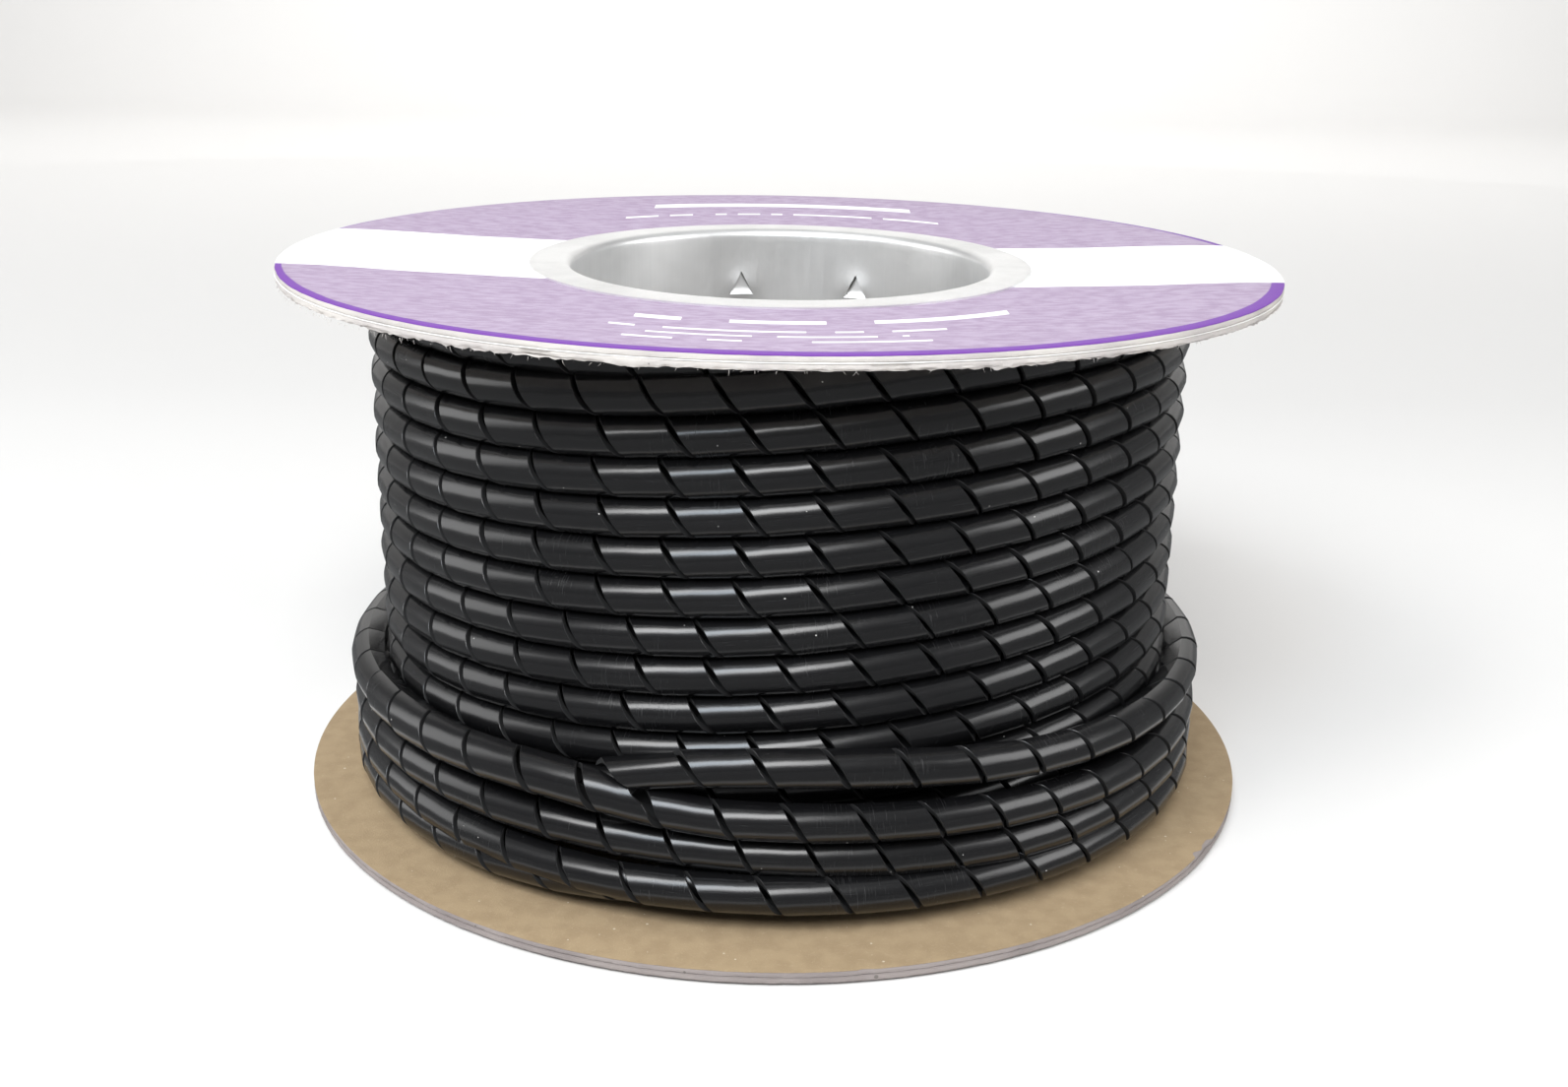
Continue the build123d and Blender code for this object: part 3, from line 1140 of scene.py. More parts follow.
@dataclass(frozen=True)
class MetalFinish:
    """Drawn sheet metal with streaks along the sleeve."""

    colour: Colour = (0.90, 0.90, 0.895)
    colour_dark: Colour = (0.68, 0.68, 0.675)

    def make(self) -> bpy.types.Material:
        """Make the material."""
        material, graph, shader = new_material("sleeve_metal", 0.34)
        shader.inputs["Metallic"].default_value = 1.0
        place = graph.node("TexCoord").outputs["Object"]
        streaks = graph.streaks(place, (1700.0, 1700.0, 30.0))
        clouds = graph.rise(graph.noise(place, 60.0, 3.0), 0.35, 0.7)
        share = graph.math("MULTIPLY", graph.math("ADD", streaks.outputs["Height"], clouds), 0.5)
        colour = graph.blend(share, rgba(self.colour), rgba(self.colour_dark))
        graph.link(colour, shader.inputs["Base Color"])
        rough = graph.math("ADD", graph.math("MULTIPLY", streaks.outputs["Height"], 0.2), 0.34)
        graph.link(rough, shader.inputs["Roughness"])
        add_bump(graph, shader, streaks.outputs["Height"], 0.012 * MM)
        return material


@dataclass(frozen=True)
class FloorFinish:
    """The studio's matt floor."""

    colour: Colour = (0.74, 0.73, 0.715)

    def make(self) -> bpy.types.Material:
        """Make the material."""
        material, _, shader = new_material("pale_floor", 0.7, 0.2)
        shader.inputs["Base Color"].default_value = rgba(self.colour)
        return material


class PaperKind(Enum):
    """The papers and boards that the spool is made of."""

    BOARD = PaperFinish(
        "chipboard",
        plain=(0.56, 0.53, 0.50),
        dark=(0.45, 0.42, 0.41),
        light=(0.74, 0.71, 0.68),
        speck=(0.22, 0.20, 0.19),
    )
    # The chipboard at about half its brightness, for every layer of the lower flange, its liner
    # too.
    LOWER_BOARD = PaperFinish(
        "lower_chipboard",
        plain=(0.29, 0.255, 0.243),
        dark=(0.235, 0.205, 0.198),
        light=(0.40, 0.365, 0.355),
        speck=(0.16, 0.14, 0.13),
    )
    LINER = PaperFinish(
        "liner_paper",
        plain=(0.80, 0.79, 0.77),
        dark=(0.72, 0.71, 0.69),
        light=(0.88, 0.87, 0.86),
        speck=(0.5, 0.48, 0.45),
    )
    KRAFT = PaperFinish(
        "kraft_paper",
        plain=(0.36, 0.268, 0.162),
        dark=(0.315, 0.231, 0.138),
        light=(0.52, 0.42, 0.29),
        speck=(0.56, 0.49, 0.38),
        cloud_scale=300.0,
        fibre_share=0.6,
        speck_scale=620.0,
        speck_share=0.22,
        speck_size=0.14,
    )


# ---------------------------------------------------------------- the flanges


@dataclass(frozen=True)
class TornPlace:
    """A short stretch of a ply's edge that is torn or dented.

    Attributes:
        degrees: where it is, from the front toward +X.
        span: how wide it is, in degrees.
        inward: how far the edge is torn in (or pulled out, below zero), in metres.
        droop: how far its lower edge hangs down, in metres.
    """

    degrees: float
    span: float
    inward: float
    droop: float


@dataclass(frozen=True)
class Ply:
    """One layer of a flange board, with its cut or frayed edge.

    Attributes:
        node: the CAD part that it stands for.
        fray: how ragged the edge is, in metres.
        droop: how far loose pulp hangs below the lower edge, in metres.
        bulge: how far the middle of the edge swells out, in metres.
        overhang: how far the whole edge stands out, in metres.
        torn: its torn places.
    """

    node: str
    fray: float
    droop: float
    bulge: float
    overhang: float = 0.0
    torn: tuple[TornPlace, ...] = ()


@dataclass
class FlangeBoard:
    """A flange of two chipboard plies with a liner between them and a facing."""

    name: str
    plies: dict[Ply, tuple[bpy.types.Material, str]]
    seed: int
    dish: Shift | None = None
    hole_radius: float = BOARD_HOLE_RADIUS
    outer_radius: float = FLANGE_RADIUS
    columns: int = 1260
    edge_levels: tuple[float, ...] = (0.0, 0.12, 0.35, 0.6, 0.82, 0.95, 1.0)
    edge_break: float = 0.12 * MM
    edge_depth: float = 1.1 * MM
    face_rings_mm: tuple[float, ...] = (47.0, 54.0, 61.0, 68.0, 75.0, 82.0)

    def edge_noise(self, rng: np.random.Generator, ply: Ply) -> tuple[Array, Array]:
        """Make the raggedness of a ply's edge.

        Args:
            rng: the seeded source.
            ply: the ply.

        Returns:
            The outward shift at each level and column, and the drop of the lowest level.
        """
        levels = len(self.edge_levels)
        broad = closed_wander(rng, self.columns, 60, 0.5)
        shift = np.zeros((levels, self.columns))
        for k, share in enumerate(self.edge_levels):
            fine = closed_wander(rng, self.columns, 2, 1.0) * 0.7
            fine = fine + closed_wander(rng, self.columns, 9, 1.0) * 0.3
            lower = (1.0 - share) ** 2
            shift[k] = ply.fray * (0.25 + lower) * (0.45 * broad + 0.6 * fine - 0.35)
            shift[k] += ply.bulge * (1.0 - (2.0 * share - 1.0) ** 2) + ply.overhang
        hang = 0.6 * closed_wander(rng, self.columns, 2, 1.0)
        hang = hang + 0.5 * closed_wander(rng, self.columns, 19, 1.0) + 0.2
        drop = ply.droop * np.clip(hang, -0.2, 1.2)
        degrees = np.linspace(0.0, 360.0, self.columns, endpoint=False)
        for torn in ply.torn:
            away = np.abs((degrees - torn.degrees + 180.0) % 360.0 - 180.0) / (torn.span / 2.0)
            share = smooth_step((1.15 - away) / 0.3)
            rough = 0.75 + 0.5 * closed_wander(rng, self.columns, 4, 1.0)
            shift -= share * torn.inward * rough
            drop += share * torn.droop * rough
        return shift, drop

    def build_ply(
        self, ply: Ply, material: bpy.types.Material, order: int
    ) -> bpy.types.Object:
        """Build one ply as a ring with a worked edge.

        Args:
            ply: the ply.
            material: its finish.
            order: its number in the board, which seeds its edge.

        Returns:
            The finished piece.
        """
        rng = np.random.default_rng(self.seed + 7 * order)
        low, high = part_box(ply.node)
        shift, drop = self.edge_noise(rng, ply)
        thickness = high.z - low.z
        edge_break = min(self.edge_break, thickness / 3.0)
        middle = np.array(self.face_rings_mm) * MM
        radii = (self.hole_radius, *middle, self.outer_radius - self.edge_depth)
        flat = np.full(self.columns, 1.0)
        rings = [(flat * r, flat * low.z) for r in radii]
        for k, share in enumerate(self.edge_levels):
            corner = edge_break if share in (0.0, 1.0) else 0.0
            radius = self.outer_radius - corner + shift[k]
            height = low.z + thickness * share - drop * (1.0 - share) ** 3
            rings.append((radius, height))
        rings += [(flat * r, flat * high.z) for r in radii[::-1]]
        piece = lathe(ply.node + "_board", rings, self.dish)
        shade(piece, 40.0)
        dress(piece, material)
        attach(piece, BODY)
        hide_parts(ply.node)
        log.info("%s: %s, %d points", self.name, ply.node, len(piece.data.vertices))
        return piece

    def build(self) -> None:
        """Build every ply of the board."""
        for order, (ply, (material, slot)) in enumerate(self.plies.items()):
            self.build_ply(ply, material, order)


def closed_wander(rng: np.random.Generator, count: int, cell: int, size: float) -> Array:
    """Make a smooth random line whose end meets its start."""
    knots = rng.uniform(-size, size, max(count // cell, 3))
    at = np.arange(count) * (len(knots) / count)
    low = at.astype(int)
    blend = smooth_step(at - low)
    return knots[low] * (1.0 - blend) + knots[(low + 1) % len(knots)] * blend


@dataclass
class EdgeFuzz:
    """Loose fibres that hang from the lower edge of a flange."""

    name: str
    radius: float
    height: float
    count: int
    longest: float
    thickness: float
    slot: str
    seed: int

    def build(self, material: bpy.types.Material) -> bpy.types.Object:
        """Build all the fibres as one piece.

        Args:
            material: the board's finish.

        Returns:
            The finished piece.
        """
        rng = np.random.default_rng(self.seed)
        points: list[Array] = []
        faces: Faces = []
        turn = np.radians([0.0, 120.0, 240.0])
        for _ in range(self.count):
            angle = rng.uniform(0.0, 2.0 * math.pi)
            length = self.longest * rng.uniform(0.15, 1.0) ** 2
            out = np.array([math.sin(angle), -math.cos(angle), 0.0])
            side = np.array([math.cos(angle), math.sin(angle), 0.0])
            lean = rng.uniform(-1.0, 1.0)
            curl = rng.uniform(-0.8, 0.8)
            start = out * (self.radius - rng.uniform(0.0, 0.25) * MM)
            start = start + np.array([0.0, 0.0, self.height + 0.1 * MM])
            first = sum(len(p) for p in points)
            ring = []
            for share in (0.0, 0.35, 0.7, 1.0):
                sag = 1.0 - 0.35 * share * abs(lean)
                drop = np.array([0.0, 0.0, -1.0]) * length * share * sag
                drift = side * length * (lean * share + curl * share * share) * 0.7
                middle = start + drop + drift + out * length * 0.25 * share * rng.uniform(0.0, 1.0)
                reach = self.thickness * (1.0 - 0.75 * share)
                around = np.cos(turn)[:, None] * out + np.sin(turn)[:, None] * side
                ring.append(middle + reach * around)
            points.append(np.concatenate(ring))
            faces += strip_faces(4, 3, first)
        piece = new_mesh_object(self.name, np.concatenate(points), faces)
        shade(piece, 60.0)
        dress(piece, material)
        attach(piece, BODY)
        log.info("%s: %d fibres", self.name, self.count)
        return piece


@dataclass(frozen=True)
class UpperDish:
    """How the upper flange is drawn down at the sleeve and stands up at its rim."""

    lip_radius: float = LIP_RADIUS
    rim_radius: float = FLANGE_RADIUS
    sink: float = 1.1 * MM
    lip_tilt: tuple[float, float] = (-0.2 * MM, 0.35 * MM)
    rim_rise: float = 0.55 * MM
    rim_tilt: float = -0.45 * MM

    def lip(self, x: Array, y: Array) -> Array:
        """Return the change of height of the sleeve's lip at each place."""
        return -self.sink + (self.lip_tilt[0] * x + self.lip_tilt[1] * y) / self.lip_radius

    def board(self, x: Array, y: Array) -> Array:
        """Return the change of height of the board at each place."""
        radius = np.hypot(x, y)
        share = smooth_step((radius - self.lip_radius) / (self.rim_radius - self.lip_radius))
        rim = self.rim_rise + self.rim_tilt * x / self.rim_radius
        return self.lip(x, y) * (1.0 - share) + rim * share


@dataclass
class Sleeve:
    """A flanged metal sleeve whose wall is punched outward into barbs.

    The wall is a grid of points. Near each barb its columns close in on the barb's sides,
    so the hole has straight edges, and the metal round it is drawn outward.

    Attributes:
        upward: whether this is the upper sleeve, whose lip faces up.
        barb_angles: where the barbs are, in degrees from the front toward +X.
        barb_base: the depth of the barbs' feet below the lip.
        barb_lean: degrees by which a barb leans out at its foot.
        barb_rest_lean: degrees by which the rest of it leans out.
        barb_bend: the share of its length that the bend takes up.
        dent: how far the wall round a barb is drawn, outward above zero.
        dent_reach: how far round a barb the wall is drawn.
        window: half the width of the wall whose columns close in on a barb.
        tip_half: half the width of a hole's tip.
        lip_rows: how many rows of points lie on the lip and its bend.
    """

    name: str
    node: str
    upward: bool
    dish: Shift | None
    bore_radius: float = 38.1 * MM
    wall: float = 0.5 * MM
    lip_radius: float = LIP_RADIUS
    bend: float = 1.5 * MM
    length: float = 34.0 * MM
    barb_angles: tuple[float, ...] = (36.4, 72.4, 156.4, 192.4, 276.4, 312.4)
    barb_base: float = 13.2 * MM
    barb_width: float = 5.0 * MM
    barb_height: float = 4.7 * MM
    barb_lean: float = 34.0
    barb_rest_lean: float = 4.0
    barb_bend: float = 0.34
    dent: float = -0.55 * MM
    dent_reach: float = 2.8 * MM
    window: float = 6.5 * MM
    tip_half: float = 0.06 * MM
    window_columns: int = 30
    hole_columns: int = 10
    between_columns: int = 24
    lip_rows: int = 12
    tab_steps: int = 13

    def columns(self) -> list[tuple[int, float]]:
        """List the wall's columns.

        Returns:
            For each column its barb's number and its place from -1 to 1 in the barb's
            window, or a place from 1 to 2 between this window and the next.
        """
        barbs = range(len(self.barb_angles))
        window = [(b, u) for b in barbs for u in np.linspace(-1.0, 1.0, self.window_columns + 1)]
        between = np.linspace(0.0, 1.0, self.between_columns + 1)[1:-1]
        gaps = [(b, 1.0 + u) for b in barbs for u in between]
        return sorted(window + gaps)

    def column_angle(self, barb: int, place: float, depth: float) -> float:
        """Find a column's angle at a depth below the lip.

        Args:
            barb: the barb's number.
            place: the column's place in or after the barb's window.
            depth: the distance below the lip.

        Returns:
            The angle from the front toward +X, in radians.
        """
        centre = math.radians(self.barb_angles[barb])
        following = self.barb_angles[(barb + 1) % len(self.barb_angles)]
        step = math.radians((following - self.barb_angles[barb]) % 360.0)
        window = self.window / self.bore_radius
        if place > 1.0:
            return centre + window + (step - 2.0 * window) * (place - 1.0)
        hole = self.hole_columns / self.window_columns
        high = (self.barb_base - depth) / self.barb_height
        share = min(max(1.0 - high, 0.02), 1.0)
        if high < 0.0:
            share = 1.0
        half = max(self.barb_width / 2.0 * share, self.tip_half) / self.bore_radius
        size = abs(place)
        if size <= hole:
            reach = half * size / hole
        else:
            reach = half + (window - half) * (size - hole) / (1.0 - hole)
        return centre + math.copysign(reach, place)

    def rows(self) -> list[tuple[float, float]]:
        """List the rows of the inside face as radius and depth below the lip's top."""
        outer = [(self.lip_radius - 0.12 * MM, 0.06 * MM), (self.lip_radius - 0.5 * MM, 0.0)]
        lip = [(r * MM, 0.0) for r in (44.0, 42.2, 40.8)]
        corner = self.bore_radius + self.bend
        bend = [
            (corner - self.bend * math.sin(a), self.bend * (1.0 - math.cos(a)))
            for a in np.linspace(0.0, math.pi / 2, 8)
        ]
        top = self.barb_base - self.barb_height
        depths = [
            *np.linspace(self.bend + 1.0 * MM, top, 9)[:-1],
            *np.linspace(top, self.barb_base, 9),
            *np.linspace(self.barb_base, self.barb_base + 6.0 * MM, 8)[1:],
            self.length - 6.0 * MM,
            self.length,
        ]
        return outer + lip + bend + [(self.bore_radius, d) for d in depths]

    def wall_grid(self, rows: list[tuple[float, float]], columns: list[tuple[int, float]]) -> Array:
        """Place the points of the wall's inside and outside, with the lip's top at zero.

        Args:
            rows: each row's radius and depth.
            columns: each column's barb and place.

        Returns:
            The points by side, row and column.
        """
        grid = np.zeros((2, len(rows), len(columns), 3))
        for r, (radius, depth) in enumerate(rows):
            for c, (barb, place) in enumerate(columns):
                angle = self.column_angle(barb, place, depth)
                centre = math.radians(self.barb_angles[barb])
                across = (angle - centre) * self.bore_radius
                up = depth - (self.barb_base - self.barb_height * 0.45)
                near = math.exp(-(across**2 + up**2) / self.dent_reach**2)
                for side in (0, 1):
                    reach = radius + self.dent * near
                    level = depth
                    if side == 1 and r >= self.lip_rows:
                        reach += self.wall
                    elif side == 1:
                        level += self.wall
                    grid[side, r, c] = (reach * math.sin(angle), -reach * math.cos(angle), -level)
        return grid

    def build(self, material: bpy.types.Material) -> bpy.types.Object:
        """Build the sleeve with its holes and barbs.

        Args:
            material: the sheet metal.

        Returns:
            The finished piece.
        """
        columns = self.columns()
        rows = self.rows()
        grid = self.wall_grid(rows, columns)
        hole_rows = [r for r, (_, d) in enumerate(rows) if self.in_barb(d)]
        margin = (self.window_columns - self.hole_columns) // 2
        inside = {
            c
            for c, (_, place) in enumerate(columns)
            if -1.0 + 2.0 * (margin - 0.5) / self.window_columns < place
            and place < 1.0 - 2.0 * (margin + 0.5) / self.window_columns
        }
        points, faces = self.join(grid, hole_rows, inside)
        for barb in range(len(self.barb_angles)):
            tab_points, tab_faces = self.tab(barb, len(points))
            points = np.concatenate([points, tab_points])
            faces += tab_faces
        low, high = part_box(self.node)
        if not self.upward:
            points = points * np.array([1.0, 1.0, -1.0])
            faces = [face[::-1] for face in faces]
        points[:, 2] += high.z if self.upward else low.z
        if self.dish is not None:
            points[:, 2] += self.dish(points[:, 0], points[:, 1])
        piece = new_mesh_object(self.name, points, faces)
        shade(piece, 50.0)
        dress(piece, material)
        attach(piece, BODY)
        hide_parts(self.node)
        log.info("%s: %d barbs, %d points", self.name, len(self.barb_angles), len(points))
        return piece

    def in_barb(self, depth: float) -> bool:
        """Say whether the row of faces below a depth lies in the barbs' holes."""
        top = self.barb_base - self.barb_height
        return top - 1e-9 <= depth < self.barb_base - 1e-9

    def join(
        self, grid: Array, hole_rows: list[int], inside: set[int]
    ) -> tuple[Array, Faces]:
        """Join the grid's inside and outside faces, leaving the holes open.

        Args:
            grid: the points of both sides.
            hole_rows: the rows of faces that the holes take up.
            inside: the columns of faces that the holes take up.

        Returns:
            The points and the faces.
        """
        _, rows, columns, _ = grid.shape
        faces: Faces = []

        def add(*corners: tuple[int, int, int]) -> None:
            """Add the face whose corners have these sides, rows and columns."""
            faces.append([(side * rows + r) * columns + c % columns for side, r, c in corners])

        holes = set(hole_rows)
        for r in range(rows - 1):
            for c in range(columns):
                if r in holes and c in inside:
                    for along, edge in (
                        (c - 1 not in inside, (r, c, r + 1, c)),
                        (c + 1 not in inside, (r + 1, c + 1, r, c + 1)),
                        (r - 1 not in holes, (r, c + 1, r, c)),
                        (r + 1 not in holes, (r + 1, c, r + 1, c + 1)),
                    ):
                        if along:
                            r0, c0, r1, c1 = edge
                            add((0, r0, c0), (0, r1, c1), (1, r1, c1), (1, r0, c0))
                    continue
                add((0, r, c), (0, r + 1, c), (0, r + 1, c + 1), (0, r, c + 1))
                add((1, r, c), (1, r, c + 1), (1, r + 1, c + 1), (1, r + 1, c))
        last = rows - 1
        for c in range(columns):
            add((0, 0, c), (0, 0, c + 1), (1, 0, c + 1), (1, 0, c))
            add((0, last, c), (1, last, c), (1, last, c + 1), (0, last, c + 1))
        return grid.reshape(-1, 3), faces

    def tab(self, barb: int, first: int) -> tuple[Array, Faces]:
        """Shape one barb, which bends outward from the bottom of its hole.

        Args:
            barb: the barb's number.
            first: the number of its first point.

        Returns:
            The points and the faces.
        """
        centre = math.radians(self.barb_angles[barb])
        steps = self.tab_steps
        out, down = self.dent * 0.5, self.barb_base
        rings: list[Array] = []
        lean = math.radians(self.barb_lean)
        for k in range(steps):
            share = k / (steps - 1)
            half = self.barb_width / 2.0 * 0.97 * (1.0 - share) + 0.04 * MM
            tilt = lean * max(0.0, 1.0 - share / self.barb_bend) + math.radians(self.barb_rest_lean)
            thick = self.wall * (1.0 - 0.5 * share)
            ring = []
            for x, depth_in in (
                (-half, 0.0), (0.0, -0.08 * MM), (half, 0.0), (half, thick), (-half, thick)
            ):
                reach = self.bore_radius + out + depth_in * math.cos(tilt)
                level = -(down + depth_in * math.sin(tilt))
                angle = centre + x / self.bore_radius
                ring.append((reach * math.sin(angle), -reach * math.cos(angle), level))
            rings.append(np.array(ring))
            span = self.barb_height / (steps - 1)
            out += span * math.sin(tilt)
            down -= span * math.cos(tilt)
        return np.concatenate(rings), strip_faces(steps, 5, first)


@dataclass
class LabelSheet:
    """The printed sheet glued to the upper flange, which follows the board under it."""

    dish: Shift
    outer_radius: float = FLANGE_RADIUS
    hole_radius: float = BOARD_HOLE_RADIUS
    columns: int = 720
    face_rings_mm: tuple[float, ...] = (46.0, 52.0, 58.0, 64.0, 70.0, 76.0, 82.0, 87.6)

    def build(self, material: bpy.types.Material) -> bpy.types.Object:
        """Build the sheet.

        Args:
            material: the printed paper.

        Returns:
            The finished piece.
        """
        rng = np.random.default_rng(77)
        low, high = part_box("flange_label")
        trim = closed_wander(rng, self.columns, 24, 0.06 * MM)
        trim = trim + closed_wander(rng, self.columns, 3, 0.05 * MM)
        flat = np.full(self.columns, 1.0)
        radii = [self.hole_radius, *(np.array(self.face_rings_mm) * MM)]
        rings = [(flat * r, flat * high.z) for r in radii]
        for inward, height in (
            (0.14 * MM, high.z - 0.004 * MM),
            (0.02 * MM, high.z - 0.05 * MM),
            (0.02 * MM, low.z + 0.01 * MM),
        ):
            rings.append((flat * (self.outer_radius - inward) + trim, flat * height))
        rings += [(flat * radii[-1], flat * low.z), (flat * radii[0], flat * low.z)]
        piece = lathe("label_sheet", rings, self.dish, from_top=True)
        shade(piece, 50.0)
        dress(piece, material)
        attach(piece, BODY)
        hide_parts("flange_label")
        log.info("label_sheet: %d points", len(piece.data.vertices))
        return piece


@dataclass
class Spool:
    """Both flanges, the core and its metal sleeves."""

    nodes: dict[str, bpy.types.Object]
    shape: UpperDish = UpperDish()

    def upper_flange(self, board: bpy.types.Material, liner: bpy.types.Material) -> None:
        """Build the label's flange, which has a frayed lower edge."""
        tear = (
            TornPlace(-12.6, 5.2, -0.25 * MM, 0.30 * MM),
            TornPlace(-22.0, 3.0, 0.35 * MM, -0.05 * MM),
            TornPlace(10.0, 3.5, 0.25 * MM, 0.12 * MM),
            TornPlace(20.5, 2.0, 0.0, 0.32 * MM),
            TornPlace(-31.0, 2.6, 0.05 * MM, 0.22 * MM),
        )
        FlangeBoard(
            "upper_flange",
            {
                Ply("upper_flange_outer_ply", 0.16 * MM, 0.0, 0.08 * MM): (board, "chipboard"),
                Ply("upper_flange_liner", 0.04 * MM, 0.0, 0.05 * MM, 0.10 * MM): (
                    liner, "liner_paper"
                ),
                Ply("upper_flange_inner_ply", 0.34 * MM, 0.16 * MM, 0.08 * MM, 0.0, tear): (
                    board, "chipboard"
                ),
                Ply("upper_flange_facing", 0.34 * MM, 0.34 * MM, 0.0, -0.04 * MM, tear): (
                    board, "kraft_paper"
                ),
            },
            seed=101,
            dish=self.shape.board,
        ).build()
        low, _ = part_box("upper_flange_facing")
        EdgeFuzz(
            "upper_flange_fibres",
            radius=FLANGE_RADIUS,
            height=low.z + 0.4 * MM,
            count=460,
            longest=1.0 * MM,
            thickness=0.045 * MM,
            slot="chipboard",
            seed=31,
        ).build(board)

    def lower_flange(self, board: bpy.types.Material, kraft: bpy.types.Material) -> None:
        """Build the kraft-faced flange, which has one torn nick at its right."""
        nick = (TornPlace(57.6, 5.0, 0.9 * MM, 0.0), TornPlace(9.7, 1.6, 0.4 * MM, 0.0))
        dent = (TornPlace(57.0, 5.6, 0.35 * MM, 0.0), TornPlace(9.7, 1.2, 0.15 * MM, 0.0))
        FlangeBoard(
            "lower_flange",
            {
                Ply("lower_flange_outer_ply", 0.10 * MM, 0.0, 0.05 * MM): (board, "chipboard"),
                Ply("lower_flange_inner_ply", 0.14 * MM, 0.0, 0.05 * MM, 0.0, dent): (
                    board, "chipboard"
                ),
                Ply("lower_flange_facing", 0.08 * MM, 0.0, 0.0, 0.04 * MM, nick): (
                    kraft, "kraft_paper"
                ),
            },
            seed=211,
        ).build()

    def build(self) -> None:
        """Build and dress every part of the spool except the wrap."""
        board = PaperKind.BOARD.value.make()
        lower_board = PaperKind.LOWER_BOARD.value.make()
        liner = PaperKind.LINER.value.make()
        kraft = PaperKind.KRAFT.value.make()
        metal = MetalFinish().make()
        self.upper_flange(board, liner)
        LabelSheet(self.shape.board).build(LabelFinish().make())
        Sleeve("upper_sleeve", "hub_upper_sleeve", True, self.shape.lip).build(metal)
        Sleeve("lower_sleeve", "hub_lower_sleeve", False, None).build(metal)
        self.lower_flange(lower_board, kraft)
        for name, material in (("core_tube", board), ("lower_flange_liner", lower_board)):
            self.nodes[name].data.materials.clear()
            self.nodes[name].data.materials.append(material)
            log.info("%s: dressed in %s", name, material.name)


# ---------------------------------------------------------------- the studio


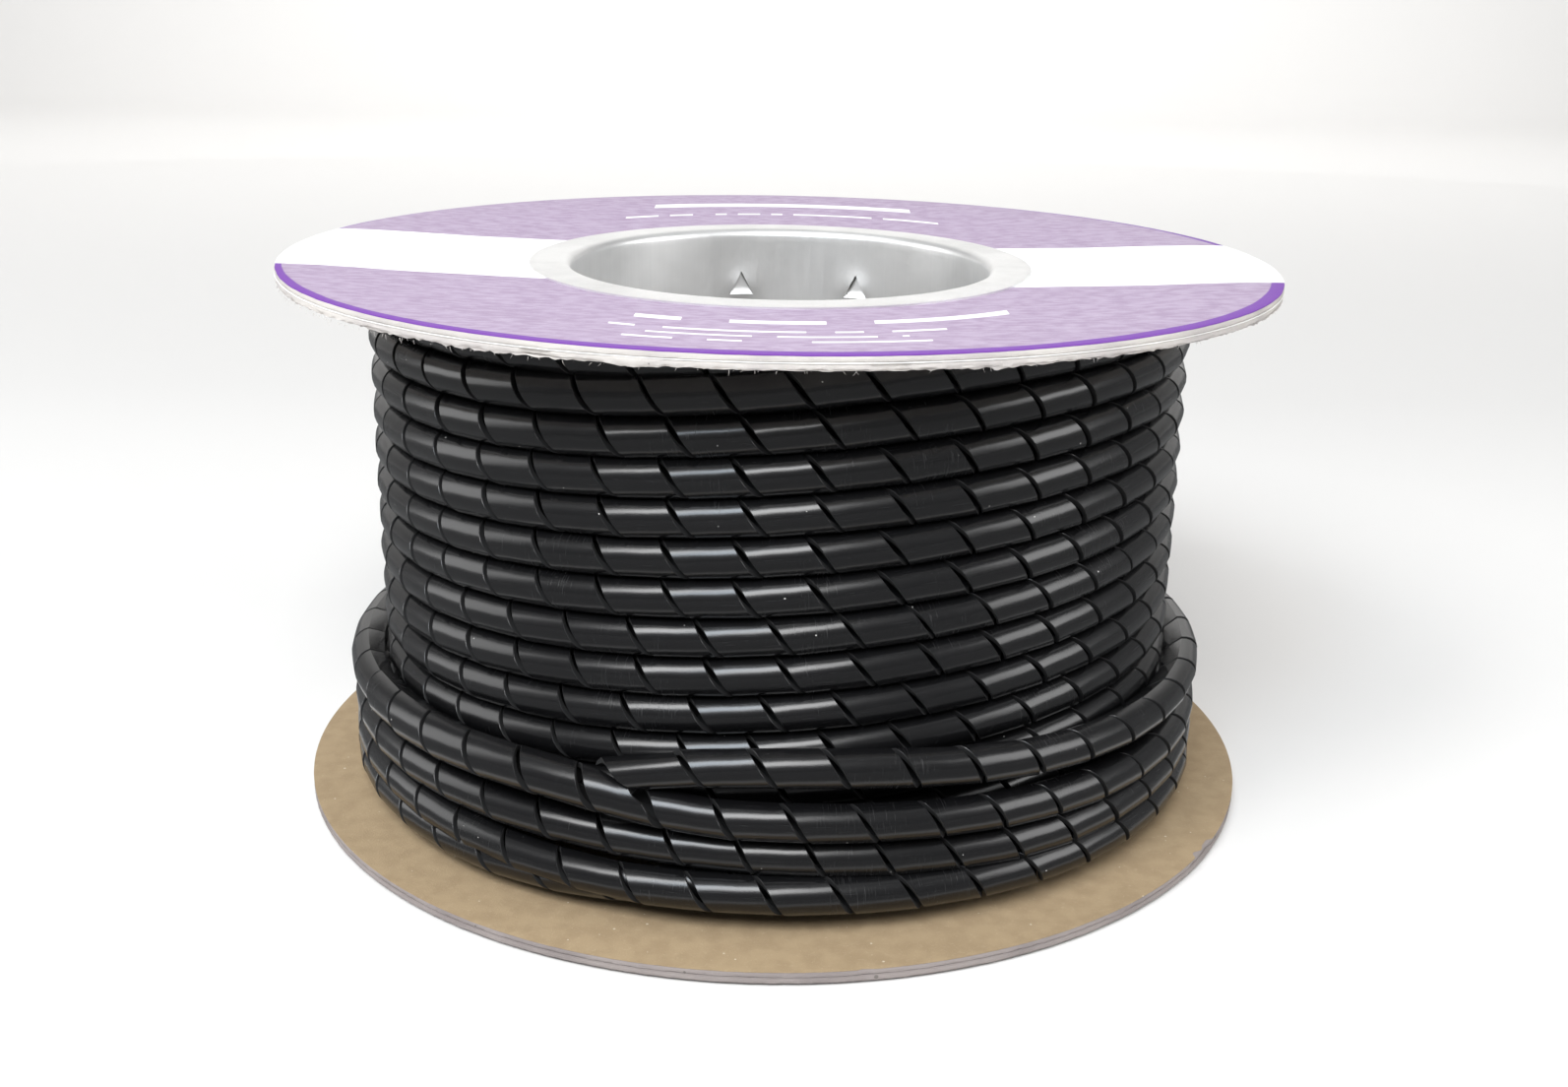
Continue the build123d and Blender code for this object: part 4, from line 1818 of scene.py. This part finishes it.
@dataclass(frozen=True)
class Studio:
    """Camera, floor and soft light."""

    lens: float = 39.55
    place: tuple[float, float, float] = (1.4 * MM, -315.5 * MM, 144.85 * MM)
    pitch_degrees: float = 18.148
    roll_degrees: float = 0.828
    card_colour: Colour = (0.20, 0.20, 0.20)

    def camera(self) -> None:
        """Set up the camera in front of the spool and a little above it."""
        data = bpy.data.cameras.new("camera")
        data.lens = self.lens
        data.sensor_width = 36.0
        data.clip_start = 0.01
        eye = bpy.data.objects.new("camera", data)
        look = Euler((math.radians(90.0 - self.pitch_degrees), 0.0, 0.0)).to_matrix()
        turn = Euler((0.0, 0.0, math.radians(self.roll_degrees))).to_matrix()
        eye.matrix_world = (look @ turn).to_4x4()
        eye.location = self.place
        bpy.context.scene.collection.objects.link(eye)
        bpy.context.scene.camera = eye

    def floor(self) -> None:
        """Lay a pale floor that curves up behind the spool."""
        half, deep, rise, radius = 3.0, 1.6, 1.6, 0.5
        bend = [
            (deep + radius * math.sin(a), radius - radius * math.cos(a))
            for a in np.linspace(0.0, math.pi / 2, 13)
        ]
        line = [(-2.5, 0.0), *bend, (deep + radius, radius + rise)]
        points = np.array([(x, y, z) for y, z in line for x in (-half, half)])
        faces = [[2 * k, 2 * k + 1, 2 * k + 3, 2 * k + 2] for k in range(len(line) - 1)]
        floor = new_mesh_object("studio_floor", points, faces)
        floor.data.shade_smooth()
        floor.data.materials.append(FloorFinish().make())

    def reflection_card(self) -> None:
        """Lay a dark card round the spool that only shows as a reflection in glossy pieces."""
        inner, outer, height, sides = 0.10, 1.2, 0.0004, 48
        angle = np.linspace(0.0, 2.0 * math.pi, sides, endpoint=False)
        ring = np.stack([np.sin(angle), -np.cos(angle), np.zeros(sides)], axis=1)
        points = np.concatenate([ring * inner, ring * outer]) + np.array([0.0, 0.0, height])
        after = [(k + 1) % sides for k in range(sides)]
        faces = [[sides + k, sides + after[k], after[k], k] for k in range(sides)]
        card = new_mesh_object("reflection_card", points, faces)
        material, _, shader = new_material("dark_card", 0.9, 0.1)
        shader.inputs["Base Color"].default_value = rgba(self.card_colour)
        card.data.materials.append(material)
        card.visible_camera = False
        card.visible_diffuse = False
        card.visible_shadow = False

    def lamp(
        self,
        name: str,
        place: Vector,
        target: Vector,
        size: tuple[float, float],
        power: float,
        colour: Colour,
    ) -> None:
        """Hang a rectangular soft light that faces a target.

        Args:
            name: the light's name.
            place: where it hangs.
            target: the point that it faces.
            size: its width and height, in metres.
            power: its power, in watts.
            colour: its colour.
        """
        data = bpy.data.lights.new(name, "AREA")
        data.shape = "RECTANGLE"
        data.size, data.size_y = size
        data.energy = power
        data.color = colour
        lamp = bpy.data.objects.new(name, data)
        lamp.location = place
        lamp.rotation_euler = (target - place).to_track_quat("-Z", "Y").to_euler()
        bpy.context.scene.collection.objects.link(lamp)

    def lights(self) -> None:
        """Light the spool from three panes of a window, two walls and the ceiling."""
        middle = Vector((0.0, 0.0, 0.05))
        white, sky = (1.0, 1.0, 1.0), (0.78, 0.89, 1.0)
        for name, place, size, power, colour in (
            ("window_left", (-0.56, -0.61, 0.84), (0.30, 0.44), 6.1, white),
            ("window_middle", (-0.32, -0.76, 0.84), (0.19, 0.44), 3.9, sky),
            ("window_right", (-0.02, -0.83, 0.84), (0.42, 0.44), 8.2, white),
            ("left_wall", (-1.3, 0.1, 0.5), (0.8, 0.8), 5.6, white),
            ("right_wall", (1.2, -0.3, 0.6), (0.7, 0.7), 7.5, white),
            ("ceiling", (0.0, 0.35, 1.5), (2.0, 2.0), 5.0, white),
        ):
            self.lamp(name, Vector(place), middle, size, power, colour)
        wash_place, wash_target = Vector((0.0, 0.9, 1.3)), Vector((0.0, 2.1, 0.75))
        self.lamp("backdrop_wash", wash_place, wash_target, (1.8, 0.5), 25.0, white)
        world = bpy.data.worlds.new("soft_room")
        world.use_nodes = True
        world.node_tree.nodes["Background"].inputs["Color"].default_value = (0.97, 0.98, 1.0, 1.0)
        world.node_tree.nodes["Background"].inputs["Strength"].default_value = 0.26
        bpy.context.scene.world = world
        bpy.context.scene.view_settings.view_transform = "Standard"

    def build(self) -> None:
        """Build the whole studio."""
        self.camera()
        self.floor()
        self.reflection_card()
        self.lights()


def main() -> None:
    """Build every piece in order."""
    logging.basicConfig(level=logging.INFO)
    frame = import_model()
    low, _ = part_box("cable_wrap_layers")
    _, core_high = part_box("core_tube")
    route = WrapRoute(TUBE_DIAMETER, core_radius=core_high.x, floor_z=low.z)
    CableWrap(route, tube_radius=TUBE_DIAMETER / 2).build(WrapFinish().make())
    Spool(frame["nodes"]).build()
    Studio().build()


if __name__ == "__main__":
    main()
